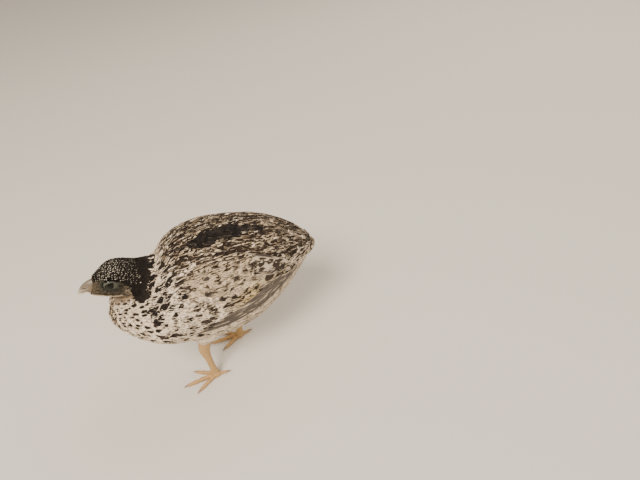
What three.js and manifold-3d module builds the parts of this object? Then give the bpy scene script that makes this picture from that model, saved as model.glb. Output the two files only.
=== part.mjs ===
// A life-size coturnix quail hen, a museum model: the head low and forward, the back high.
// Units are millimetres and +Z is up. The beak points to -X, the tail to +X, the bird's left side to -Y.
// The feet rest on z = 0. The origin is the middle of the bounding box, at floor level.
import * as THREE from "three";
import { mergeVertices } from "three/addons/utils/BufferGeometryUtils.js";
import Module from "manifold-3d";

const wasm = await Module();
wasm.setup();

// Gap kept between neighbouring pieces.
const GAP = 0.3;
const DOWN = new THREE.Vector3(0, 0, -1);

// Body: ovals along X from the breast to the end of the rump, parted into torso and tail.
// The stations are spaced as a cosine, closer together at both ends, so that the ends come out round.
const BODY = {
  front: -63,
  back: 75,
  top: [75, 81.5, 87.5, 92.5, 112, 118, 116.3, 110.5, 101, 91, 83.5],
  bottom: [75, 67, 57, 46, 38.8, 36.4, 40.5, 51.5, 65, 76.5, 83.5],
  halfWidth: [0, 12.5, 23, 29.8, 33.6, 34.6, 31, 23.5, 15, 8, 0],
  tailCut: 53,
};

// Neck: oval stations from inside the torso up to the back of the head.
const NECK = [
  { x: -14, z: 80, wide: 26, high: 24 },
  { x: -25, z: 84, wide: 21, high: 18 },
  { x: -35, z: 90, wide: 15.5, high: 15 },
  { x: -43, z: 94.6, wide: 12, high: 12.6 },
  { x: -50, z: 98.2, wide: 10.2, high: 11 },
];

// Head: its own frame runs forward along the beak, a, and up, b.
const HEAD = {
  centre: new THREE.Vector3(-49.8, 0, 99.2),
  pitch: THREE.MathUtils.degToRad(0.5), // beak down
  back: 15,
  front: 20.8,
  halfHeight: 11.2,
  halfWidth: 10.2,
  browDrop: 3.2, // how far the face drops towards the beak
};

// Eye: a ball in a socket, seen through an oval opening between the lids.
const EYE = { a: 3.6, b: 1.9, y: 6.4, radius: 4, lid: 0.7, openWide: 3, openHigh: 2.5 };

// Beak: both halves run along the head's a axis from inside the face to their tips.
const BEAK = {
  root: 11.6,
  tip: 24.4,
  lowerTip: 22.8,
  halfWidth: 3.8,
  culmen: 4.2, // height of the ridge at the root
  mouth: -2, // height of the mouth line at the root
  tipDrop: 1.2, // the mouth line's drop at the tip
  hook: 0.9, // how far the upper tip hangs over the mouth line
  chin: -4.8,
};
const NOSTRIL = { a: 19.4, b: -0.2, y: 2.4, long: 1.3, high: 0.5, deep: 0.9 };
const MOUTH_CORNER = { a: 11, b: -2.3, y: 6.6, long: 3.4, high: 0.35, deep: 3.2 };

// Tail feathers: a flat fan from inside the rump, drooping a little.
const TAIL = {
  root: new THREE.Vector3(46, 0, 88.5),
  droop: THREE.MathUtils.degToRad(11), // below the horizontal
  count: 10,
  length: 33.5,
  shorter: 4, // what the outermost lose
  spread: THREE.MathUtils.degToRad(34),
  buried: 12,
  halfWidth: 3.4,
  hang: 0.02, // how far the outer ones hang, for each mm squared from the middle
};
// Coverts over and under the tail, on the rump's surface. Angles are from the middle of the back.
const TAIL_COVERTS = [
  { count: 9, middle: 0, spread: 128, root: 0.72, tip: 0.945, halfWidth: 4 },
  { count: 8, middle: 180, spread: 110, root: 0.72, tip: 0.95, halfWidth: 4 },
];

// Folded wing: p runs from the wrist to the tip and q from the low edge to the high edge.
// The edges are angles down from the middle of the back.
const WING = {
  wrist: 0.225,
  reach: 0.585,
  lowEdge: [94, 104, 109, 109, 107, 105, 104],
  highEdge: [80, 50, 37, 36, 46, 68, 98],
  clear: 0.45, // from the torso to the underside
  core: { end: 0.66, thickness: 1.7 },
};
// Vane tiers, laid from the body outwards: primaries, secondaries, greater coverts and median coverts.
// Roots sit at p = root and tips at p = tip, from the vane at q = low to the one at q = high.
const WING_TIERS = [
  { count: 7, root: 0.36, tip: [0.84, 1], low: 0.04, high: 0.42, halfWidth: 3.2, lift: [0.8, 1.2] },
  { count: 8, root: 0.34, tip: [0.7, 0.86], low: 0.3, high: 0.96, halfWidth: 4, lift: [1, 2.1] },
  { count: 7, root: 0.2, tip: [0.5, 0.56], low: 0.08, high: 0.92, halfWidth: 4.4, lift: [1.2, 2.4] },
  { count: 6, root: 0.06, tip: [0.33, 0.36], low: 0.14, high: 0.86, halfWidth: 4.4, lift: [1.3, 2.8] },
];
const VANE = { steps: 4, thickness: 0.95, seed: 11 };

// Legs: the right foot, on the far side, stands a stride behind the left one.
const LEG = {
  side: 15, // distance of each foot from the middle
  hockHeight: 30,
  thighEnd: 40, // height at which the bare leg begins
  slope: 0.36, // how far the leg above the hock runs back, for each mm up
  padHeight: 2.6,
};
// The feathered thigh's radii from the knee down, and the bare leg's radii at their heights.
const THIGH = { knee: 12.5, middle: 9.4, end: 4.9 };
const SHANK = [
  { height: 39.7, radius: 3.9 },
  { height: 34, radius: 3.75 },
  { height: 30, radius: 3.5 },
  { height: 26, radius: 2.8 },
  { height: 21, radius: 2.1 },
  { height: 13, radius: 1.95 },
  { height: 6, radius: 2.1 },
  { height: 4.2, radius: 2.4 },
];
const FEET = [
  { name: "left", sign: -1, foot: -12, hock: -14.5, knee: -4 },
  { name: "right", sign: 1, foot: 13, hock: 16, knee: 10 },
];
// Toes: turn is away from straight ahead, positive outwards.
const TOES = [
  { name: "middle", turn: 3, length: 21, radius: 1.7 },
  { name: "inner", turn: -32, length: 15.5, radius: 1.55 },
  { name: "outer", turn: 34, length: 16, radius: 1.55 },
  { name: "hind", turn: 172, length: 7.5, radius: 1.3 },
];
const CLAW = { length: 3.2, radius: 0.8 };

const COLOURS = {
  white: 0xd8cfc0,
  speckled: 0xa89f92,
  black: 0x2c2624,
  brown: 0x5a5048,
  beak: 0x9a8f80,
  eye: 0x15130f,
  leg: 0xd2a36f,
  claw: 0xb89a74,
};

// A closed surface through rings of equal length. A first or last ring may shrink to one point.
// The second half of each ring is split the other way, so that both faces of a thin vane match.
function loft(rings) {
  const positions = [];
  const index = [];
  const starts = rings.map((ring) => {
    const start = positions.length / 3;
    for (const p of ring) positions.push(p.x, p.y, p.z);
    return start;
  });
  const around = Math.max(...rings.map((ring) => ring.length));
  for (let i = 0; i + 1 < rings.length; i++) {
    const here = (j) => starts[i] + (rings[i].length === 1 ? 0 : j);
    const next = (j) => starts[i + 1] + (rings[i + 1].length === 1 ? 0 : j);
    for (let j = 0; j < around; j++) {
      const k = (j + 1) % around;
      const split = j < around / 2 ? [here(j), next(k)] : [next(j), here(k)];
      index.push(here(j), here(k), split[1] === here(k) ? next(j) : split[1]);
      index.push(split[0] === next(j) ? here(k) : here(j), next(k), next(j));
    }
  }
  const kept = [];
  for (let i = 0; i < index.length; i += 3) {
    const [a, b, c] = index.slice(i, i + 3);
    if (a !== b && b !== c && c !== a) kept.push(a, b, c);
  }
  for (const [start, ring, flip] of [
    [starts[0], rings[0], true],
    [starts.at(-1), rings.at(-1), false],
  ]) {
    for (let j = 1; j + 1 < ring.length; j++) {
      if (flip) kept.push(start, start + j + 1, start + j);
      else kept.push(start, start + j, start + j + 1);
    }
  }
  const geometry = new THREE.BufferGeometry();
  geometry.setAttribute("position", new THREE.Float32BufferAttribute(positions, 3));
  geometry.setIndex(kept);
  return geometry;
}

// A geometry as a solid, turned the right way out.
function solid(geometry) {
  const bare = geometry.clone();
  bare.deleteAttribute("normal");
  bare.deleteAttribute("uv");
  const merged = mergeVertices(bare, 1e-4);
  const vertProperties = new Float32Array(merged.attributes.position.array);
  const triVerts = new Uint32Array(merged.index.array);
  const make = () => new wasm.Manifold(new wasm.Mesh({ numProp: 3, vertProperties, triVerts }));
  const made = make();
  if (made.volume() > 0) return made;
  for (let i = 0; i < triVerts.length; i += 3) {
    [triVerts[i + 1], triVerts[i + 2]] = [triVerts[i + 2], triVerts[i + 1]];
  }
  return make();
}

// The largest closed body of a solid, so that no loose scrap stays after a cut.
function largest(made) {
  const bodies = made.decompose();
  return bodies.reduce((best, body) => (body.volume() > best.volume() ? body : best));
}

function join(solids) {
  return solids.reduce((all, next) => all.add(next));
}

// A solid back as a three.js geometry.
function geometryOf(made) {
  const mesh = made.getMesh();
  const positions = [];
  for (let i = 0; i < mesh.vertProperties.length; i += mesh.numProp) {
    positions.push(...mesh.vertProperties.slice(i, i + 3));
  }
  const geometry = new THREE.BufferGeometry();
  geometry.setAttribute("position", new THREE.Float32BufferAttribute(positions, 3));
  geometry.setIndex([...mesh.triVerts]);
  return geometry;
}

// A smooth value between equally spaced stations, at s from 0 to 1.
function along(stations, s) {
  const last = stations.length - 1;
  const i = Math.min(Math.floor(s * last), last - 1);
  const t = s * last - i;
  const [p1, p2] = [stations[i], stations[i + 1]];
  const p0 = i > 0 ? stations[i - 1] : 2 * p1 - p2;
  const p3 = i < last - 1 ? stations[i + 2] : 2 * p2 - p1;
  const slope1 = (p2 - p0) / 2;
  const slope2 = (p3 - p1) / 2;
  const t2 = t * t;
  const t3 = t2 * t;
  const ends = (2 * t3 - 3 * t2 + 1) * p1 + (3 * t2 - 2 * t3) * p2;
  return ends + (t3 - 2 * t2 + t) * slope1 + (t3 - t2) * slope2;
}

// A point of the body's surface, lifted off it by lift. The angle runs from the back, 0,
// down the left side to the belly, 180 degrees.
function bodyPoint(s, angle, lift = 0) {
  const middle = (BODY.front + BODY.back) / 2;
  const reach = (BODY.back - BODY.front) / 2 + lift;
  const x = middle - reach * Math.cos(Math.PI * s);
  const top = along(BODY.top, s);
  const bottom = along(BODY.bottom, s);
  const grow = lift * Math.min(1, Math.sin(Math.PI * s) * 1.6);
  const half = (top - bottom) / 2 + grow;
  const width = along(BODY.halfWidth, s) + grow;
  return new THREE.Vector3(x, -width * Math.sin(angle), (top + bottom) / 2 + half * Math.cos(angle));
}

function body(grow = 0, steps = 24, around = 28) {
  const rings = [];
  for (let i = 0; i <= steps; i++) {
    const s = i / steps;
    const points = i === 0 || i === steps ? 1 : around;
    rings.push(Array.from({ length: points }, (_, j) => bodyPoint(s, (2 * Math.PI * j) / around, grow)));
  }
  return solid(loft(rings));
}

// The body's outward normal, from two short steps on its surface.
function bodyNormal(s, angle) {
  const step = 1e-3;
  const lengthwise = bodyPoint(s + step, angle).sub(bodyPoint(s - step, angle));
  const round = bodyPoint(s, angle + step).sub(bodyPoint(s, angle - step));
  return lengthwise.cross(round).normalize();
}

// A tube of oval rings square to its path: each station has a centre, two radii and, for the feet, a floor.
function tube(stations, around = 12, floor = -Infinity) {
  const rings = stations.map((station, i) => {
    const before = stations[Math.max(i - 1, 0)].at;
    const after = stations[Math.min(i + 1, stations.length - 1)].at;
    const ahead = station.ahead ?? after.clone().sub(before).normalize();
    const side = new THREE.Vector3(0, 1, 0).cross(ahead);
    if (side.length() < 0.2) side.set(1, 0, 0);
    const level = station.level ?? side.normalize().cross(ahead).normalize().negate();
    const up = ahead.clone().cross(level).normalize();
    if (station.wide === 0) return [station.at.clone()];
    return Array.from({ length: around }, (_, j) => {
      const turn = (2 * Math.PI * j) / around;
      const p = station.at
        .clone()
        .addScaledVector(level, station.wide * Math.cos(turn))
        .addScaledVector(up, station.high * Math.sin(turn));
      p.z = Math.max(p.z, floor);
      return p;
    });
  });
  return solid(loft(rings));
}

function neck() {
  const stations = NECK.map(({ x, z, wide, high }) => ({ at: new THREE.Vector3(x, 0, z), wide, high }));
  return largest(tube(stations, 26).subtract(body(GAP)).subtract(headShell(GAP)));
}

// A point in the head's frame: a forward, b up, y to the side.
function headPoint(a, b, y) {
  const { centre, pitch } = HEAD;
  return new THREE.Vector3(
    centre.x - a * Math.cos(pitch) - b * Math.sin(pitch),
    y,
    centre.z - a * Math.sin(pitch) + b * Math.cos(pitch),
  );
}

// The head without eyes and beak: ovals along a, sinking towards the beak.
function headShell(grow = 0, rings = 18, around = 24) {
  const back = -HEAD.back - grow;
  const front = HEAD.front + grow;
  const made = [];
  for (let i = 0; i <= rings; i++) {
    const a = (back + front) / 2 - ((front - back) / 2) * Math.cos((Math.PI * i) / rings);
    const share = a < 0 ? a / back : a / front;
    const size =
      a < 0
        ? Math.pow(Math.max(1 - Math.pow(share, 2.1), 0), 0.54)
        : Math.pow(Math.max(1 - Math.pow(share, 1.6), 0), 0.8);
    const drop = -HEAD.browDrop * Math.pow(Math.max(a / HEAD.front, 0), 1.4);
    if (i === 0 || i === rings) {
      made.push([headPoint(a, drop, 0)]);
      continue;
    }
    made.push(
      Array.from({ length: around }, (_, j) => {
        const turn = (2 * Math.PI * j) / around;
        const b = drop + size * (HEAD.halfHeight + grow) * Math.cos(turn);
        return headPoint(a, b, size * (HEAD.halfWidth + grow) * Math.sin(turn));
      }),
    );
  }
  return solid(loft(made));
}

// An oval ball in the head's frame.
function headBall(a, b, y, along, high, side, detail = 14) {
  const geometry = new THREE.SphereGeometry(1, detail, Math.round(detail * 0.6));
  const basis = new THREE.Matrix4().makeBasis(
    headPoint(1, 0, 0).sub(headPoint(0, 0, 0)).multiplyScalar(along),
    headPoint(0, 1, 0).sub(headPoint(0, 0, 0)).multiplyScalar(high),
    new THREE.Vector3(0, side, 0),
  );
  basis.setPosition(headPoint(a, b, y));
  return solid(geometry.applyMatrix4(basis));
}

// One half of the beak: rings along a between a ridge line and an edge line.
function beakHalf(upper, grow = 0) {
  const tip = upper ? BEAK.tip : BEAK.lowerTip;
  const steps = 9;
  const around = 12;
  const rings = [];
  for (let i = 0; i <= steps; i++) {
    const t = i / steps;
    const a = THREE.MathUtils.lerp(BEAK.root - grow, tip + grow, t);
    const narrow = Math.pow(1 - Math.pow(t, 1.6), 0.8);
    const mouth = BEAK.mouth - BEAK.tipDrop * t * t;
    const hook = BEAK.hook * Math.pow(t, 5);
    const ridge = upper
      ? THREE.MathUtils.lerp(mouth - 0.4, BEAK.culmen, Math.pow(1 - Math.pow(t, 2.3), 0.8))
      : THREE.MathUtils.lerp(mouth - GAP - 0.7, BEAK.chin, narrow);
    const edge = upper ? mouth - hook : mouth - GAP;
    const high = Math.max(ridge, edge) + grow;
    const low = Math.min(ridge, edge) - grow;
    const wide = Math.max(BEAK.halfWidth * (upper ? 1 : 0.86) * narrow, 0.35) + grow;
    rings.push(
      Array.from({ length: around }, (_, j) => {
        const turn = (2 * Math.PI * j) / around;
        const round = (Math.cos(turn) + 1) / 2;
        const b = THREE.MathUtils.lerp(low, high, round);
        const fullness = upper ? 1 - 0.35 * round : 0.65 + 0.35 * round;
        return headPoint(a, b, wide * Math.sin(turn) * fullness);
      }),
    );
  }
  return solid(loft(rings));
}

function head() {
  let made = headShell();
  for (const sign of [-1, 1]) {
    const lid = EYE.radius + GAP + EYE.lid;
    made = made.add(headBall(EYE.a, EYE.b, sign * EYE.y, lid, lid, lid, 16));
  }
  const { a, b, y, long, high, deep } = MOUTH_CORNER;
  for (const sign of [-1, 1]) {
    const socket = EYE.radius + GAP;
    made = made
      .subtract(headBall(EYE.a, EYE.b, sign * EYE.y, socket, socket, socket, 14))
      .subtract(headBall(EYE.a, EYE.b, sign * (EYE.y + 5), EYE.openWide, EYE.openHigh, 4.2, 14))
      .subtract(headBall(a, b, sign * y, long, high, deep, 10));
  }
  return largest(made.subtract(beakHalf(true, GAP)).subtract(beakHalf(false, GAP)).subtract(body(GAP)));
}

function eye(sign) {
  return headBall(EYE.a, EYE.b, sign * EYE.y, EYE.radius, EYE.radius, EYE.radius, 14);
}

function beakUpper() {
  const { a, b, y, long, high, deep } = NOSTRIL;
  let made = beakHalf(true);
  for (const sign of [-1, 1]) made = made.subtract(headBall(a, b, sign * y, long, high, deep, 8));
  return largest(made);
}

// A repeatable random draw from -1 to 1.
function drawFrom(seed) {
  let state = seed;
  return () => {
    state = (state * 1664525 + 1013904223) % 4294967296;
    return (2 * state) / 4294967296 - 1;
  };
}

// A thin closed vane. place(t, across, lift) gives a point at t from root to tip, across mm from
// the shaft and lift mm off the surface. tilt raises one edge, so that vanes lie like shingles.
function vane(place, halfWidth, tilt) {
  const rings = [];
  for (let i = 0; i <= VANE.steps; i++) {
    const t = i / VANE.steps;
    if (i === VANE.steps) {
      rings.push([place(1, 0, 0)]);
      continue;
    }
    const wide = halfWidth * (0.6 + 0.4 * Math.min(1, t * 3)) * Math.pow(1 - Math.pow(t, 5), 0.5);
    const thick = (VANE.thickness / 2) * (1 - 0.45 * t);
    rings.push([
      place(t, -wide, -tilt),
      place(t, 0, thick),
      place(t, wide, tilt),
      place(t, 0, -thick),
    ]);
  }
  return solid(loft(rings));
}

// A point off the folded wing's surface, mirrored for the right wing.
function wingPoint(p, q, lift, sign) {
  const s = WING.wrist + WING.reach * p;
  const angle = THREE.MathUtils.degToRad(
    THREE.MathUtils.lerp(along(WING.lowEdge, p), along(WING.highEdge, p), q),
  );
  const at = bodyPoint(s, angle);
  const out = bodyNormal(s, angle);
  if (out.y > 0) out.negate();
  at.addScaledVector(out, WING.clear + lift);
  at.y *= -sign;
  return at;
}

// The wing's arm: a thin shell from the wrist back to where the flight feathers take over.
function wingCore(sign) {
  const rings = [];
  const steps = 12;
  const across = 7;
  for (let i = 0; i <= steps; i++) {
    const u = 0.01 + 0.98 * (i / steps);
    const round = Math.pow(Math.sin(Math.PI * u), 0.45);
    const top = [];
    const under = [];
    for (let j = 0; j <= across; j++) {
      const v = j / across;
      const arch = Math.pow(Math.sin(Math.PI * THREE.MathUtils.lerp(0.04, 0.96, v)), 0.4);
      const rise = 0.35 + 0.65 * round * arch;
      const q = 0.5 + (v - 0.5) * (0.35 + 0.65 * round);
      under.push(wingPoint(u * WING.core.end, q, 0, sign));
      top.push(wingPoint(u * WING.core.end, q, WING.core.thickness * rise, sign));
    }
    rings.push([...top, ...under.reverse()]);
  }
  return solid(loft(rings));
}

function wing(sign) {
  const draw = drawFrom(VANE.seed);
  const pieces = [wingCore(sign)];
  for (const tier of WING_TIERS) {
    for (let k = 0; k < tier.count; k++) {
      const share = k / (tier.count - 1);
      const q = THREE.MathUtils.lerp(tier.low, tier.high, share);
      const tip = THREE.MathUtils.lerp(tier.tip[0], tier.tip[1], share) + 0.008 * draw();
      const loose = 0.08 * draw();
      const settle = 0.5 + (q - 0.5) * 0.9;
      const place = (t, width, lift) => {
        const p = THREE.MathUtils.lerp(tier.root, tip, t);
        const span = wingPoint(p, 0, 0, sign).distanceTo(wingPoint(p, 1, 0, sign));
        const line = THREE.MathUtils.lerp(q, settle, t) + width / Math.max(span, 12);
        return wingPoint(p, line, THREE.MathUtils.lerp(tier.lift[0], tier.lift[1] + loose, t) + lift, sign);
      };
      pieces.push(vane(place, tier.halfWidth, 0.28));
    }
  }
  return largest(join(pieces).subtract(body(GAP)));
}

// Everything behind x, as one block.
function behind(x) {
  const size = 400;
  return solid(new THREE.BoxGeometry(size, size, size).translate(x + size / 2, 0, 0));
}

function torso() {
  return largest(body().subtract(behind(BODY.tailCut)));
}

// Half the body's girth radius at station s, to turn mm across into an angle.
function girth(s) {
  return (along(BODY.halfWidth, s) + (along(BODY.top, s) - along(BODY.bottom, s)) / 2) / 2;
}

function tailFeather(side) {
  const { root, droop, hang, buried } = TAIL;
  const turn = (TAIL.spread / 2) * side;
  const length = TAIL.length - TAIL.shorter * side * side;
  const place = (t, width, lift) => {
    const reach = buried + (length - buried) * t;
    const out = reach * Math.cos(turn) - width * Math.sin(turn);
    const y = reach * Math.sin(turn) + width * Math.cos(turn);
    const rise = lift - hang * y * y;
    return new THREE.Vector3(
      root.x + out * Math.cos(droop) + rise * Math.sin(droop),
      y,
      root.z - out * Math.sin(droop) + rise * Math.cos(droop),
    );
  };
  return vane(place, TAIL.halfWidth, side < 0 ? -0.2 : 0.2);
}

function tailCovert(tier, side) {
  const middle = tier.middle + (tier.spread / 2) * side;
  const place = (t, width, lift) => {
    const s = THREE.MathUtils.lerp(tier.root, tier.tip - 0.012 * side * side, t);
    const settle = THREE.MathUtils.degToRad(middle - 8 * side * t);
    const angle = settle + width / Math.max(girth(s), 8);
    return bodyPoint(s, angle).addScaledVector(bodyNormal(s, angle), 2.2 * t - 0.9 + lift);
  };
  return vane(place, tier.halfWidth, side < 0 ? -0.2 : 0.2);
}

function tail() {
  const pieces = [body().intersect(behind(BODY.tailCut + GAP))];
  for (let k = 0; k < TAIL.count; k++) pieces.push(tailFeather((2 * k) / (TAIL.count - 1) - 1));
  for (const tier of TAIL_COVERTS) {
    for (let k = 0; k < tier.count; k++) pieces.push(tailCovert(tier, (2 * k) / (tier.count - 1) - 1));
  }
  return largest(join(pieces).intersect(behind(BODY.tailCut + GAP)));
}

// The middle of the leg at a height: straight from the foot to the hock, then back and up to the thigh.
function legPoint(leg, height) {
  const above = Math.max(height - LEG.hockHeight, 0);
  const x = THREE.MathUtils.lerp(leg.foot, leg.hock, Math.min(height / LEG.hockHeight, 1));
  return new THREE.Vector3(x + LEG.slope * above, leg.sign * (LEG.side + 0.07 * above), height);
}

function thigh(leg) {
  const y = leg.sign * LEG.side;
  const end = legPoint(leg, LEG.thighEnd);
  const path = [
    { at: new THREE.Vector3(leg.knee, y * 1.1, 54), wide: THIGH.knee, high: THIGH.knee },
    { at: new THREE.Vector3((leg.knee + end.x) / 2, y * 1.08, 47), wide: THIGH.middle, high: THIGH.middle },
    { at: end, wide: THIGH.end, high: THIGH.end, ahead: DOWN },
  ];
  return largest(tube(path, 16).subtract(body(GAP)));
}

function shank(leg) {
  const stations = SHANK.map(({ height, radius }, i) => ({
    at: legPoint(leg, height),
    wide: radius * 0.9,
    high: radius * 1.1,
    ahead: i === 0 ? DOWN : undefined,
  }));
  return tube(stations, 12);
}

function toeDirection(leg, toe) {
  const turn = THREE.MathUtils.degToRad(toe.turn) * leg.sign;
  return new THREE.Vector3(-Math.cos(turn), Math.sin(turn), 0);
}

// The ball of the foot and its four toes, with their undersides flat on the floor.
function foot(leg) {
  const ball = new THREE.Vector3(leg.foot, leg.sign * LEG.side, LEG.padHeight - 0.6);
  const pad = tube(
    [
      { at: ball.clone().add(new THREE.Vector3(0, 0, 1.9)), wide: 2.3, high: 2.6 },
      { at: ball.clone().add(new THREE.Vector3(0, 0, 0.4)), wide: 2.9, high: 3.1 },
      { at: ball.clone().add(new THREE.Vector3(0, 0, -2)), wide: 2.5, high: 2.7 },
    ],
    12,
    0,
  );
  const toes = TOES.map((toe) => {
    const ahead = toeDirection(leg, toe);
    const stations = [0, 0.22, 0.42, 0.62, 0.82, 1].map((t, i) => {
      const radius = toe.radius * (1 - 0.3 * t) * (i % 2 ? 1.08 : 0.94);
      return {
        at: ball
          .clone()
          .setZ(THREE.MathUtils.lerp(toe.radius * 1.1, 1, t))
          .addScaledVector(ahead, toe.length * t),
        wide: radius,
        high: radius,
        level: new THREE.Vector3(-ahead.y, ahead.x, 0),
      };
    });
    return tube(stations, 10, 0);
  });
  return largest(join([pad, ...toes]));
}

function claw(leg, toe) {
  const ahead = toeDirection(leg, toe);
  const base = new THREE.Vector3(leg.foot, leg.sign * LEG.side, 1.05).addScaledVector(
    ahead,
    toe.length + GAP,
  );
  const level = new THREE.Vector3(-ahead.y, ahead.x, 0);
  return tube(
    [
      { at: base, wide: CLAW.radius, high: CLAW.radius, level },
      {
        at: base.clone().addScaledVector(ahead, CLAW.length * 0.5).setZ(1),
        wide: CLAW.radius * 0.7,
        high: CLAW.radius * 0.75,
        level,
      },
      { at: base.clone().addScaledVector(ahead, CLAW.length).setZ(0.45), wide: 0.22, high: 0.22, level },
    ],
    8,
    0.2,
  );
}

const quail = new THREE.Group();

function addNode(name, made, colour, roughness = 0.85) {
  const material = new THREE.MeshStandardMaterial({ color: colour, roughness, metalness: 0 });
  const node = new THREE.Mesh(geometryOf(made), material);
  node.name = name;
  quail.add(node);
}

addNode("torso", torso(), COLOURS.speckled);
addNode("neck", neck(), COLOURS.black);
addNode("head", head(), COLOURS.brown);
addNode("beak_upper", beakUpper(), COLOURS.beak, 0.45);
addNode("beak_lower", beakHalf(false), COLOURS.beak, 0.45);
addNode("tail", tail(), COLOURS.speckled);
for (const [side, sign] of [["left", -1], ["right", 1]]) {
  addNode(`eye_${side}`, eye(sign), COLOURS.eye, 0.08);
  addNode(`wing_${side}`, wing(sign), COLOURS.white);
}
for (const leg of FEET) {
  addNode(`thigh_${leg.name}`, thigh(leg), COLOURS.white);
  addNode(`shank_${leg.name}`, shank(leg), COLOURS.leg, 0.55);
  addNode(`foot_${leg.name}`, foot(leg), COLOURS.leg, 0.55);
  for (const toe of TOES) addNode(`claw_${leg.name}_${toe.name}`, claw(leg, toe), COLOURS.claw, 0.4);
}

// The origin goes to the middle of the bounding box, at floor level.
const box = new THREE.Box3().setFromObject(quail, true);
quail.position.set(-(box.min.x + box.max.x) / 2, -(box.min.y + box.max.y) / 2, -box.min.z);

export default quail;
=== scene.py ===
import math

import bpy
import numpy as np
from mathutils import Matrix, Vector


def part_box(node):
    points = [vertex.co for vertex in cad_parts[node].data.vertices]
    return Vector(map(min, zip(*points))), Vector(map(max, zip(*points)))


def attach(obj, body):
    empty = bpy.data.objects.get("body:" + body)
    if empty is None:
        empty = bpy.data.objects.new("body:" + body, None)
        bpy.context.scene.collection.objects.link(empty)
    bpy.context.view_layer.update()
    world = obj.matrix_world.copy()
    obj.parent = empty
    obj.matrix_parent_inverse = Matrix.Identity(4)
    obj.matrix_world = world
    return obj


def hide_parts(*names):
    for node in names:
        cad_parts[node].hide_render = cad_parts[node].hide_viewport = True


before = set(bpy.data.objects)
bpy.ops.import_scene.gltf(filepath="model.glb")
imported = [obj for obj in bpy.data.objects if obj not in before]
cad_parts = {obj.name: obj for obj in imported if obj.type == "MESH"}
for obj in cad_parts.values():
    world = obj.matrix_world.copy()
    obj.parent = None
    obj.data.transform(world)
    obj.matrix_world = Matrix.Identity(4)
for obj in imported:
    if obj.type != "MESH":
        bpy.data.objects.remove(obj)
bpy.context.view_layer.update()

# A coturnix quail hen, life size. Sizes are millimetres in the bird's own frame, beak to -X, left side
# to -Y and feet on z = 0, until to_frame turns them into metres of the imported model's frame.
MM = 0.001
GOLDEN = (math.sqrt(5) - 1) / 2

# Body: ovals along X, with stations spaced as a cosine.
BODY = {
    "front": -63.0,
    "back": 75.0,
    "top": [75, 81.5, 87.5, 92.5, 112, 118, 116.3, 110.5, 101, 91, 83.5],
    "bottom": [75, 67, 57, 46, 38.8, 36.4, 40.5, 51.5, 65, 76.5, 83.5],
    "half_width": [0, 12.5, 23, 29.8, 33.6, 34.6, 31, 23.5, 15, 8, 0],
}
MIDDLE = (BODY["front"] + BODY["back"]) / 2
REACH = (BODY["back"] - BODY["front"]) / 2
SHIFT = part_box("torso")[0].x / MM - BODY["front"]

# Neck: x of each station, height of its middle, half width and half height.
NECK = {
    "x": [-50, -43, -35, -25, -14],
    "z": [98.2, 94.6, 90, 84, 80],
    "wide": [10.2, 12, 15.5, 21, 26],
    "high": [11, 12.6, 15, 18, 24],
    "round_by": 5.0,
}

# Head: a runs forward along the beak and b up.
HEAD = {
    "x": -49.8,
    "z": 99.2,
    "pitch": math.radians(0.5),
    "back": 15.0,
    "front": 20.8,
    "half_height": 11.2,
    "half_width": 10.2,
    "brow_drop": 3.2,
    "round_by": 3.5,
}
EYE = {"a": 3.6, "b": 1.9, "y": 6.4, "radius": 4.0, "open_wide": 3.2, "open_high": 2.2, "rim": 0.7}
BEAK = {"root": 11.6, "bare_from": 13.5, "tip": 24.4, "lower_tip": 22.8, "half_width": 3.8, "culmen": 4.2,
        "mouth": -2.0, "tip_drop": 1.2, "hook": 0.9, "chin": -4.8, "gap": 0.3}
NOSTRIL = {"a": 19.4, "b": -0.2, "slope": 0.12, "long": 1.6, "high": 0.6}
HOOD = {"a": 18.6, "b": 0.5, "long": 2.3, "high": 0.8}
LIDS = {"upper": 0.54, "lower": 0.26, "thick": 0.26, "off_ball": 0.22, "dome": 3.1, "slope": 0.75}

# Folded wing: p runs from the wrist to the tip, q from the low edge to the high edge. The edges are
# angles in degrees down from the middle of the back.
WING = {
    "wrist": 0.225,
    "reach": 0.585,
    "low": [94, 104, 109, 109, 107, 105, 104],
    "high": [80, 50, 37, 36, 46, 68, 98],
    "arm_end": 0.64,
    "thickness": 2.0,
}
TAIL = {"x": 46.0, "z": 88.5, "droop": math.radians(11), "count": 12, "length": 33.5, "shorter": 4.0,
        "spread": math.radians(36), "buried": 10.0, "half_width": 3.6, "hang": 0.02}

# The plumage pattern's length over the back from beak to tail, and the radius of its girth.
LAY_LENGTH = 170.0
LAY_RADIUS = 35.0

# Legs: distance of the feet from the middle, heights of the hocks and of the bare legs' ends, then x of
# foot, hock and knee. A thigh's stations run down from inside the body; out is y as a share of the feet's.
LEG_SIDE = 15.0
HOCK_HEIGHT = 30.0
LEG_LOW, LEG_TOP = 1.6, 44.0
THIGH = {"z": [60.0, 54.0, 46.0, 40.5], "out": [1.12, 1.1, 1.08, 1.05], "radius": [10.5, 11.0, 8.2, 4.6],
         "skin_depth": 0.8, "round_by": 5.0}
SHANK = {"z": [1.6, 3.6, 6, 14, 21, 26, 30, 34, 38, 44],
         "radius": [2.4, 2.5, 2.1, 1.95, 2.1, 2.8, 3.6, 3.8, 3.9, 4.2], "scute": 1.7, "cell": 0.95}
LEGS = [
    {"name": "left", "sign": -1, "foot": -12.0, "hock": -14.5, "knee": -4.0},
    {"name": "right", "sign": 1, "foot": 13.0, "hock": 16.0, "knee": 10.0},
]
TOES = [
    {"name": "middle", "turn": 3, "length": 21.0, "radius": 1.7, "joints": 4},
    {"name": "inner", "turn": -32, "length": 15.5, "radius": 1.55, "joints": 3},
    {"name": "outer", "turn": 34, "length": 16.0, "radius": 1.55, "joints": 4},
    {"name": "hind", "turn": 172, "length": 7.5, "radius": 1.3, "joints": 2},
]
TOE_SCUTE = 1.25
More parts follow.
